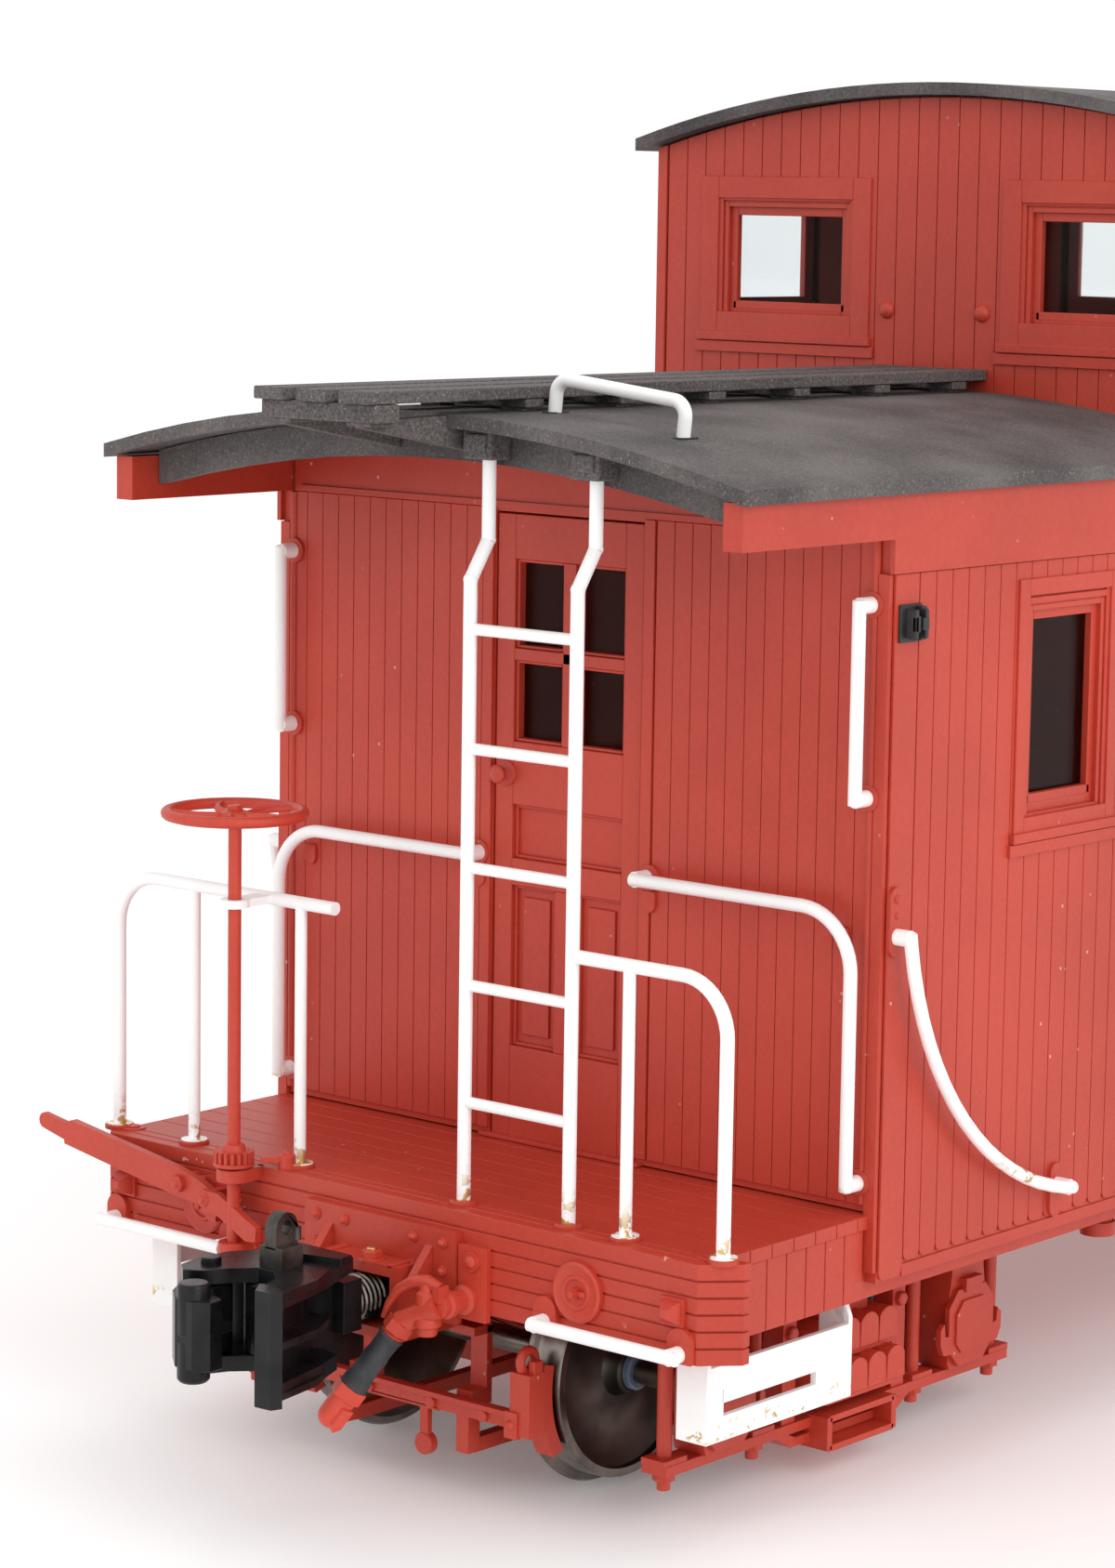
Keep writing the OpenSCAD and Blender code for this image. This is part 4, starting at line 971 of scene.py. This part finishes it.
for end, turn in BOTH_ENDS:
    brake_wheel(end + "_brake_wheel", turn)
pawl = Shape().at(shifted(BEAM_X - 1.6, STAFF_Y + 6.2, DECK_Z)).disc(1.3, -0.1, 2.2, 18).dome(0.8, 0.7, 2.1,
                                                                                              12)
pawl.prism([(-0.4, 0.9), (-0.4, -0.9), (2.6, -2.7), (3.4, -2.2), (2.9, -1.4)], 1.0, 1.9)
pawl.at().both_ends().piece("brake_pawl", "red_metal", "body", bevel=0.14)

# %% [markdown]
# ## Coupler
# The head is a casting: top and bottom plates over a solid core, a flared guard arm with ribs behind
# it, and a square collar in front of a coil spring. The knuckle is a separate body on its pin, and a dark
# steel lifter with an eye stands on top.

# %% Coupler heads
HINGE_X, HINGE_Y = BEAM_X + 27, -8.6
CZ = (span("front_coupler")[0][2] + 37.6) / 2


def coupler(body, turn):
    head = Shape().at(turn)
    plate = [(236, -4), (240.5, -8), (246, -11.2), (251, -12.0), (255.6, -11), (257.6, -8.6), (256, -6),
             (252.6, -4.4),
             (249.6, -1.6), (249.6, 1.4), (252, 4.2), (257.6, 6.6), (260.2, 9.2), (259.4, 11.4), (247,
                 8.4), (236, 4)]
    core = [(236, -4), (243, -6.4), (245.6, -4), (248.6, -2), (248.8, 3.4), (257, 7.2), (258.2, 8.6),
            (249, 5.4), (243, 2.4), (236, 1.0)]
    # The lower plate is notched so that it swings past the brake hose.
    low_plate = plate[:-1] + [(241.5, 6.2), (240.5, 1.2), (236, 1.2)]
    head.prism(plate, CZ + 5.3, CZ + 7.5).prism(low_plate, CZ - 7.6, CZ - 5.3).prism(core, CZ - 5.4, CZ + 5.4)
    flange = [(257.4, 6.4), (260.5, 8.6), (260.3, 11.6), (258.6, 12.2), (256.4, 8.4)]
    head.prism(flange, CZ - 8.4, CZ + 8.2)
    rib = [(258, 8), (258.4, 11.2), (249, 9.6), (243, 6.4), (243, 1)]
    for z in (CZ - 7.7, CZ - 0.5, CZ + 6.6):
        head.prism(rib, z, z + 1.05)
    head.prism([(241, -6), (243, 0), (241, 6.4), (238.4, 6), (238.4, -5.4)], CZ + 7.4, CZ + 8.6)
    head.at(turn, shifted(HINGE_X, HINGE_Y, 0)).disc(1.5, CZ + 7.4, CZ + 8.4, 20).disc(1.5, CZ - 8.4,
                                                                                       CZ - 7.5, 20)
    head.disc(1.15, CZ - 6, CZ + 6, 16)
    head.at(turn, shifted(247.2, -2.6, 0)).disc(3.0, CZ - 5.2, CZ + 5.2, 24)
    head.at(turn).prism([(240.8, -7.9), (246, -10.9), (247.6, -11), (247.6, -3), (243, -3)], CZ - 5.4,
                        CZ + 5.4)
    head.block((245, 1.0, CZ - 5.2), (250.4, 3.4, CZ - 1.4)).block((245, 0.4, CZ + 0.6), (249.6, 3, CZ + 3))
    head.block((233.6, -3.5, CZ - 3.8), (237.4, 3.5, CZ + 3.8)).block((231, -2.2, CZ - 2.2),
                                                                      (234, 2.2, CZ + 2.2))
    head.block((213, -3, CZ - 2.6), (232, 3, CZ - 1.2)).block((225, -2, CZ - 2), (232, 2, CZ + 2))
    head.at(turn, shifted(213, 0, 0)).lathe([(1.45, CZ - 2.8), (3.3, CZ - 2.8), (3.3, CZ + 2.8),
                                             (1.45, CZ + 2.8)], 24)
    head.piece(body + "_head", "gloss_black", body, bevel=0.3, segments=3, stands_for=(body,))
    coil = Shape().at(turn)
    turns, steps = 5.5, 110
    path = [(228.4 + 5.2 * k / steps, 3.1 * math.cos(math.tau * turns * k / steps),
             CZ + 3.1 * math.sin(math.tau * turns * k / steps)) for k in range(steps + 1)]
    coil.rod(path, 0.4, 8).piece(body + "_spring", "spring_steel", body, bevel=0)
    lift = Shape().at(turn)
    lift.block((244.4, -2.2, CZ + 7.3), (248.8, 2.2, CZ + 10.6))
    ear = [(-2.2, -0.4), (2.2, -0.4), (2.2, 2.0)] + circle_points(0, 2.6, 2.2, 0, 180, 14) + [(-2.2, 2.0)]
    hole = circle_points(0, 2.6, 1.0, 180, -180, 20)
    lift.at(turn, axes((1, 0, 0), (0, 0, 1), (0, 1, 0), (246.6, -1.1, CZ + 10.6)))
    lift.prism(ear + [(-2.2, 2.6)] + hole + [(-2.2, 2.59)], 0, 2.2)
    lift.at(turn, shifted(244.3, 0.6, CZ + 12.4)).disc(0.8, -1.4, 0.6, 12)
    lift.piece(body + "_lifter", "gunmetal", body, bevel=0.22)


for end, turn in BOTH_ENDS:
    coupler(end + "_coupler", turn)


# %% Knuckles
def knuckle(body, turn):
    jaw = Shape().at(turn)
    jaw.prism([(251.2, -11.3), (256, -10.8), (259.6, -8.6), (262.4, -5.2), (262.6, -1.6), (261.2, 0.6),
               (258.6, 0.4),
               (257.6, -2.2), (255.4, -4.6), (252.6, -5.6), (249.2, -7.6)], CZ - 5.0, CZ + 5.0)
    jaw.at(turn, shifted(HINGE_X, HINGE_Y, 0)).disc(3.1, CZ - 5.15, CZ + 5.15, 28)
    jaw.at(turn, shifted(260.3, -3.6, 0)).lathe([(0, CZ - 7.2), (1.9, CZ - 7.2), (2.35, CZ - 6.7),
                                                 (2.35, CZ - 1.3),
                                                 (2.05, CZ - 1.1), (2.05, CZ - 0.5), (2.35,
                                                     CZ - 0.3), (2.35, CZ + 6.7),
                                                 (2.1, CZ + 7.1), (0, CZ + 7.2)], 32)
    jaw.at(turn).block((254.6, -5.6, CZ - 0.7), (258.4, -1.6, CZ + 0.7))
    jaw.piece(body + "_jaw", "gloss_black", body, bevel=0.35, segments=3, stands_for=(body,))


for end, turn in BOTH_ENDS:
    knuckle(end + "_knuckle", turn)

# %% [markdown]
# ## Angle cock, hose and coupling head
# The train pipe ends in a cock with a curved handle. A short stiff moulded hose slants down to a
# brighter red coupling head with a thumb-like hook.

# %% Angle cock and hose
cock = Shape()
PX, PY, PZ = BEAM_X + 6.8, 16.8, BEAM_Z + 2
cock.block((BEAM_X, 15.2, BEAM_Z - 1), (BEAM_X + 1.1, 20.6, DECK_Z - 4.4))
cock.at(on_end(BEAM_X + 1.1), shifted(17.9, DECK_Z - 6.6)).disc(1.5, 0, 0.4, 18).dome(1.0, 0.8, 0.3, 14)
cock.at(axes((0, 1, 0), (0, 0, 1), (1, 0, 0), (BEAM_X + 1, PY, PZ))).lathe(
    [(0, 0), (2.2, 0), (2.2, 0.8), (1.6, 1.2), (1.6, 3.4), (2.1, 3.6), (2.1, 4.6), (1.7, 4.9), (1.7, 6),
     (0, 6.4)], 24)
cock.at().rod([(PX, PY, PZ), (PX + 0.3, 14.8, PZ - 1.0), (PX + 0.8, 12.6, PZ - 2.1),
               (PX + 1.4, 10.8, PZ - 3.2)],
              [1.75, 1.7, 1.6, 1.8], 20)
cock.at(shifted(PX, 14.6, 0)).lathe([(0, PZ - 4.6), (1.3, PZ - 4.6), (1.5, PZ - 4.2), (1.5, PZ - 3.4),
                                     (2.1, PZ - 3.1),
                                     (2.1, PZ - 2.2), (1.7, PZ - 1.6), (1.7, PZ + 1.6), (1.25, PZ + 2.0),
                                     (1.1, PZ + 3.1), (0, PZ + 3.2)], 24)
handle = [(PX - 0.2, 16.9, PZ + 2.6), (PX, 14.6, PZ + 3.3), (PX + 0.5, 12.2, PZ + 3.0),
          (PX + 0.9, 9.9, PZ + 1.6),
          (PX + 1.2, 8.2, PZ - 0.8), (PX + 1.3, 7.2, PZ - 3.0)]
cock.at().rod(handle, [0.85, 1.0, 0.9, 0.75, 0.6, 0.4], 12)
cock.block((PX - 1.2, 16.2, PZ + 0.6), (PX + 0.8, 17.6, PZ + 3.0))
line = axes((1, 0, 0), (0, 1, 0), (0, 0, 1), (BEAM_X + 8.2, 10.8, BEAM_Z - 1.2))
line = line @ turned(-23, "Y") @ turned(152, "X")
cock.at(line).nut(2.2, -0.2, 2.0).lathe([(0, 1.8), (1.9, 1.8), (1.7, 2.4), (0, 2.4)], 20)
cock.at().both_ends().piece("angle_cock", "red_metal", "body", bevel=0.16, stands_for=("angle_cocks",))
rubber_line = Shape().at(line).lathe([(0, 2.2), (1.95, 2.2), (2.05, 2.5), (1.8, 3.1), (1.78, 5.4),
                                      (1.92, 6.2),
                                      (1.8, 7.4), (1.85, 9.4), (2.1, 10.4), (2.15, 11.9), (0, 11.9)], 28)
rubber_line.at().both_ends().piece("brake_hose", "rubber", "body", bevel=0, stands_for=("air_hoses",))
hand = Shape().at(line).lathe([(0, 11.7), (2.5, 11.7), (2.5, 13.6), (2.2, 13.9), (0, 13.9)], 6)
hand.prism(circle_points(0, 0, 1.95, 0, 342, 19), 13.6, 17.2)
hand.at(line, shifted(0, 0, 17.1)).dome(1.95, 1.9, 0, 24)
hand.at(line, axes((0, 0, 1), (0, 1, 0), (-1, 0, 0), (-1.2, 0, 15.2))).disc(0.7, 0, 1.2, 14)
hand.at(line, axes((1, 0, 0), (0, 0, 1), (0, -1, 0), (0, -0.9, 15.6))).prism(
    [(-1.1, -0.9), (1.1, -0.9), (1.1, 2.2), (0, 3.1), (-1.1, 2.2)], 0, 1.4)
hand.at().both_ends().piece("hose_coupling", "hose_red", "body", bevel=0.16, stands_for=("hose_heads",))

# %% Marker lamp brackets
lamp = Shape().at(on_side(SIDE_Y + 0.4), shifted(WALL_X - 3.4, 129.5))
lamp.block((-2.7, -2.7, -0.6), (2.5, 2.7, 0.5)).block((-2.5, -2.4, 0.4), (-1.1, 2.4, 1.5))
for x in (-1.7, 0.7):
    lamp.block((x, -2.1, 0.4), (x + 0.8, 2.1, 2.4))
lamp.block((-1.7, -0.9, 1.7), (-0.2, 0.9, 2.5)).block((0.2, -1.2, 1.7), (1.5, 1.2, 2.4))
lamp.at().both_sides().both_ends().piece("marker_lamp_brackets", "satin_black", "body", bevel=0.2,
                                         stands_for=("marker_brackets",))

# %% [markdown]
# ## Trucks
# Each truck is two bar-built side frames joined by a bolster and a spring plank. Axle boxes stand
# between long bolts, and full leaf springs lie across the truck with their rounded ends showing.
# Brake beams hang inside the wheels. Both trucks are the same, so one function makes them.

# %% Trucks
FRAME_Y = span("front_truck_frame")[1][1] - 2
TRUCK_X, WHEELBASE, AXLE_Z, TREAD = 170, 60, 17.75, 16.25
BAR = AXLE_Z + 10.6


def leaf(shape, half, low, high, width, x, up):
    """One curved leaf: an arc across the truck, thickness 0.75, standing on x."""
    top = [(half * t / 12, high - (high - low) * (t / 12) ** 2) for t in range(-12, 13)]
    if not up:
        top = [(y, low + high - z) for y, z in top]
    bottom = [(y, z - 0.75) for y, z in reversed(top)]
    shape.prism(top + bottom, x, x + width)


def truck(body, nodes, turn):
    here = turn @ shifted(TRUCK_X, 0, 0)
    side = Shape()
    for mirror in BOTH_SIDES:
        place = here @ mirror
        side.at(place)
        y0, y1 = FRAME_Y - 5, FRAME_Y
        arch = [(-42, BAR - 3), (42, BAR - 3), (42, BAR), (-42, BAR)]
        side.at(place @ on_side(0)).prism(arch, y0, y1)
        side.prism([(-42.5, 7.6), (42.5, 7.6), (42.5, 9.2), (-42.5, 9.2)], y0 + 0.2, y1 - 0.2)
        side.prism([(-19, 9), (-13, 5.4), (13, 5.4), (19, 9), (17, 9.1), (12, 6.8), (-12, 6.8), (-17, 9.1)],
                   y0 + 0.4, y1 - 0.4)
        for t in (-1, 1):
            a = t * WHEELBASE / 2
            box = [(a - 4.4, 9.2), (a + 4.4, 9.2), (a + 4.9, 10.4), (a + 4.9, 20), (a + 4.2, 24.4),
                   (a + 4.2, 26),
                   (a - 4.2, 26), (a - 4.2, 24.4), (a - 4.9, 20), (a - 4.9, 10.4)]
            side.at(place @ on_side(0)).prism(box, y0 - 0.2, y1 + 0.6)
            lid = [(a - 3.2, 9.8), (a + 3.2, 9.8), (a + 5.2, 12), (a + 7.2, 12.2), (a + 8.1, 14),
                   (a + 8.1, 16.4),
                   (a + 7.1, 17.3), (a + 6.8, 15.2), (a + 5.9, 15), (a + 5.9, 19.4), (a + 3.6,
                                                                                      22), (a - 3.6, 22),
                   (a - 5.9, 19.4), (a - 5.9, 15), (a - 6.8, 15.2), (a - 7.1, 17.3), (a - 8.1,
                                                                                      16.4), (a - 8.1, 14),
                   (a - 7.2, 12.2), (a - 5.2, 12)]
            side.prism(lid, y1 + 0.5, y1 + 1.5)
            side.prism([(a - 3, 12), (a + 3, 12), (a + 4.4, 13.6), (a + 4.4, 18.2), (a + 2.6, 20.2),
                        (a - 2.6, 20.2),
                        (a - 4.4, 18.2), (a - 4.4, 13.6)], y1 + 1.4, y1 + 1.9)
            side.prism([(a - 2.2, 21.4), (a + 2.2, 21.4), (a + 2.2, 23.6), (a - 2.2, 23.6)], y1 + 0.4,
                       y1 + 1.95)
            for d in (-10.2, 10.2):
                side.at(place, shifted(a + d, y1 - 2.5, 0)).disc(1.15, 8.8, BAR + 0.2, 18)
                side.block((-2.6, -2.2, 9.0), (2.6, 2.2, 10.0)).nut(1.7, 6.4, 7.8).disc(1.0, 5.0, 6.6, 14)
                side.nut(1.7, BAR - 0.2, BAR + 1.3)
            side.at(place, shifted(t * 13.6, y1 - 2.5, 0)).block((-1.6, -1.9, 8.4), (1.6, 1.9, BAR - 2))
            side.at(place, on_side(y1 - 0.8), shifted(t * 13.6, BAR - 5.4)).nut(1.2, 0, 1.2)
    side.at(here).block((-6, -FRAME_Y + 1, BAR - 5.4), (6, FRAME_Y - 1, BAR + 1.4))
    for s in (-1, 1):
        side.block((-6, s * 24 - 1.2, BAR - 7.2), (6, s * 24 + 1.2, BAR - 5.2))
    side.disc(8, BAR, 30.0, 36).disc(4, 27, 30.2, 24)
    for x in (-8.6, 7.4):
        side.block((x, -FRAME_Y - 3, 4.5), (x + 1.2, FRAME_Y + 3, 9.6))
    side.block((-8, -FRAME_Y - 3, 4.3), (8, FRAME_Y + 3, 5.3)).block((-8, -FRAME_Y - 3, 8.8),
                                                                     (8, FRAME_Y + 3, 9.8))
    side.piece(body + "_side_frames", "red_metal", body, bevel=0.2, stands_for=(nodes[0],))

    springs = Shape().at(here @ on_end(0))
    middle = (9.5 + BAR - 5.4) / 2
    for x in (-9.4, 1.6):
        for k in range(4):
            half = FRAME_Y + 1 - 5 * k
            leaf(springs, half, middle + 0.6 - 0.1 * k, BAR - 5.5 - 0.78 * k, 7.8, x, True)
            leaf(springs, half, 9.6 + 0.78 * k + 0.75, middle + 0.2 + 0.1 * k, 7.8, x, False)
    for f in BOTH_SIDES:
        for z, reach in ((middle + 4.4, FRAME_Y + 2.2), (middle - 1.4, FRAME_Y + 3.8)):
            for x in (-7.2, -2.5, 2.2, 6.9):
                springs.at(here @ f @ axes((0, 0, 1), (1, 0, 0), (0, 1, 0), (x, 0, z)))
                lobe = [(-2.2, -2.3)] + circle_points(0.4, 0, 2.5, -60, 60, 8) + [(-2.2, 2.3)]
                springs.prism(lobe, FRAME_Y - 3.5, reach)
            springs.at(here @ f @ axes((1, 0, 0), (0, 1, 0), (0, 0, 1))).block(
                (-9.4, FRAME_Y - 3.5, z - 3.2), (9.2, reach - 0.7, z - 0.6))
    springs.piece(body + "_leaf_springs", "red_metal", body, bevel=0.1, segments=1, stands_for=(nodes[1],))

    rig = Shape()
    bx, gy = WHEELBASE / 2 + TREAD + 4.4, 22.1
    for t in (AS_IS, Matrix.Scale(-1, 4, (1, 0, 0))):
        for f in BOTH_SIDES:
            place = here @ t @ f
            rig.at(place).block((bx - 1.5, -0.1, 12.5),
                (bx + 0.9, gy + 0.4, 14.6)).block((bx + 0.3, -0.1, 14.3), (bx + 1.6, gy, 15.1))
            rig.block((bx - 1.6, -0.1, 12.2), (bx + 0.9, 7.5, 12.8))
            rig.block((bx - 2, gy - 0.1, 11.8), (bx + 1.6, gy + 3.6, 21.2)).block((bx + 1, gy - 0.8, 11.4),
                                                                                  (bx + 2, gy + 1.6, 15.4))
            arc = circle_points(WHEELBASE / 2, AXLE_Z, TREAD + 0.65, -33, 13, 12)
            back = circle_points(WHEELBASE / 2, AXLE_Z, TREAD + 2.9, 13, -31, 12)
            rig.at(place @ on_side(0)).prism(arc + back, gy + 0.1, gy + 3.4)
            rig.at(place).rod([(bx - 0.3 + 1.55 * math.cos(a * math.tau / 20), gy + 1.6,
                                22.7 + 1.55 * math.sin(a * math.tau / 20))
                     for a in range(20)], 0.75, 10, close=True)
            rig.block((bx - 1.4, gy + 2.4, 21), (bx + 0.4, gy + 3.6, 23)).block((bx - 5.4, 9.2, 15.4),
                                                                                (bx - 4.2, 12.4, 25))
            rig.block((bx - 5.4, 7.6, 23.8), (bx - 1.4, 12.4, 25.2)).block((bx - 5.4, 9.2, 13.2),
                                                                           (bx - 1.2, 12.4, 15.6))
            rig.block((8, 11, 6.6), (bx - 1, 13, 8.8)).block((bx - 2, 10.8, 6.8), (bx + 0.6, 13.2, 12.6))
            for y in (6.2, 16.4):
                rig.at(place @ axes((0, 1, 0), (0, 0, 1), (1, 0, 0), (bx + 0.8, y, 13.4))).disc(0.95, 0,
                                                                                                0.7, 14)
            rig.at(place @ axes((0, 1, 0), (0, 0, 1), (1, 0, 0), (bx + 1.9, gy + 0.4, 13.4))).dome(0.8, 0.6)
        rig.at(here @ t).block((bx - 0.6, 3.4, 6.4), (bx + 0.4, 5.0, 12.6))
        rig.at(here @ t @ axes((0, 1, 0), (0, 0, 1), (1, 0, 0), (bx - 0.9, 4.2, 6.6))).disc(1.7, 0, 1.6, 18)
    rig.at().piece(body + "_brake_rigging", "red_metal", body, bevel=0.16, stands_for=(nodes[2],))


for end, turn in BOTH_ENDS:
    truck(end + "_truck", [end + "_truck_" + part for part in ("frame", "springs", "brakes")], turn)

# %% [markdown]
# ## Wheels
# The wheels are turned steel, blackened, with treads polished by running. Each is one lathe
# profile: flange, tread, dished web and hub. Turning marks show as fine steps in the web.

# %% Wheelsets
GAUGE, FLANGE = 45, 2.4
OUTER_X, INNER_X = TRUCK_X + WHEELBASE / 2, TRUCK_X - WHEELBASE / 2
axles = {"front_axle_a": ("wheelset_1", OUTER_X), "front_axle_b": ("wheelset_2", INNER_X),
         "rear_axle_a": ("wheelset_4", -OUTER_X), "rear_axle_b": ("wheelset_3", -INNER_X)}
back = GAUGE / 2 - FLANGE
for body, (node, x) in axles.items():
    dark, bright, hub = Shape(), Shape(), Shape()
    for f in BOTH_SIDES:
        place = f @ axes((1, 0, 0), (0, 0, 1), (0, 1, 0), (x, 0, AXLE_Z))
        web = [(4.4 + 0.9 * k, back + 4.5 - 1.5 * math.sin(math.pi * (k + 1) / 12) - 0.08 * (k % 2))
               for k in range(11)]
        dark.at(place).lathe([(1.9, back - 0.8), (3.6, back - 0.8), (3.8, back + 0.4), (14, back + 0.6),
                              (15.6, back),
                              (16.4, back + 0.02)], 72)
        dark.lathe([(1.9, back + 6.8), (3.2, back + 6.8), (3.6, back + 6.4), (3.9, back + 5)] + web
                   + [(14.8, back + 4.9), (14.9, back + 5.9)], 72)
        bright.at(place).lathe([(16.4, back), (17.35, back + 0.15), (17.72, back + 0.6),
                                (17.4, back + 1.15), (16.6, back + 1.5),
                                (16.3, back + 2.1), (16.22, back + 5.6), (16.0, back + 6.0), (14.85,
                                                                                              back + 6.0),
                                (14.8, back + 5.6)], 96)
        hub.at(place).lathe([(1.8, back + 6.7), (2.9, back + 6.7), (2.9, back + 7.6), (2.5, back + 7.9),
                             (1.8, back + 7.9)], 32)
    dark.piece(body + "_wheel_bodies", "wheel_dark", body, bevel=0, smooth=25)
    bright.piece(body + "_treads", "wheel_bright", body, bevel=0, smooth=30, stands_for=(node,))
    hub.piece(body + "_hub_rings", "hub_blue", body, bevel=0)
    shaft = Shape().at(axes((1, 0, 0), (0, 0, 1), (0, 1, 0), (x, 0, AXLE_Z)))
    shaft.lathe([(0, -41.6), (1.5, -41.6), (1.5, -38), (1.85, -37.8), (1.85, -29), (1.85, 29), (1.85, 37.8),
                 (1.5, 38), (1.5, 41.6), (0, 41.6)], 32)
    shaft.piece(body + "_shaft", "axle_steel", body, bevel=0)

# %% [markdown]
# ## Steps
# The corner steps are thin folded boxes under the sill with one long slot, white like the rails,
# rubbed to brass on the tread. They keep the mechanical shape, with softened edges and flanges.

# %% Steps
steps = Shape()
low, high = span("side_steps")
x0, x1, y1, z0 = WALL_X - 0.8, DECK_X - 0.2, DECK_Y - 2.5, low[2]
top = DECK_Z - 12.5
ring(steps.at(on_side(y1 - 1.0)), x0, x1, z0, z0 + 11, 3.6, 0, 1.0)
steps.block((x0 + 3.5, z0 + 3.5, 0), (x0 + 8.6, z0 + 5.7, 1.1)).block((x0 + 3.5, z0 + 5.5, 0),
                                                                      (x1 - 3.5, z0 + 7.5, 1.1))
steps.block((x1 - 3.7, z0 + 3.4, 0), (x1 - 3.5, z0 + 7.5, 1.1))
steps.at().block((x0, y1 - 5.5, z0), (x0 + 0.9, y1 - 0.9, top)).block((x1 - 0.9, y1 - 5.5, z0),
                                                                      (x1, y1 - 0.9, top))
steps.block((x0 + 0.8, y1 - 5.4, z0), (x1 - 0.8, y1 - 0.9, z0 + 1.0))
steps.block((x0 - 6, y1 - 5.4, top - 0.9), (x0 + 0.1, y1 - 1.2, top))
steps.block((x1 - 6.5, y1 - 5.4, top - 0.9), (x1 - 0.8, y1 + 0.2, top))
for x in (x0, x1 - 0.9):
    steps.at(on_end(x)).prism(
        [(y1 - 1.0, z0 + 10.8), (y1, z0 + 10.8), (y1, z0 + 12), (y1 - 1.4, top), (y1 - 5.4, top),
         (y1 - 1.4, z0 + 11)], 0, 0.9)
steps.at()
steps.both_sides().both_ends().piece("corner_steps", "white_enamel_worn", "body", bevel=0.14,
                                     stands_for=("side_steps",))
print("trucks, wheels and steps")
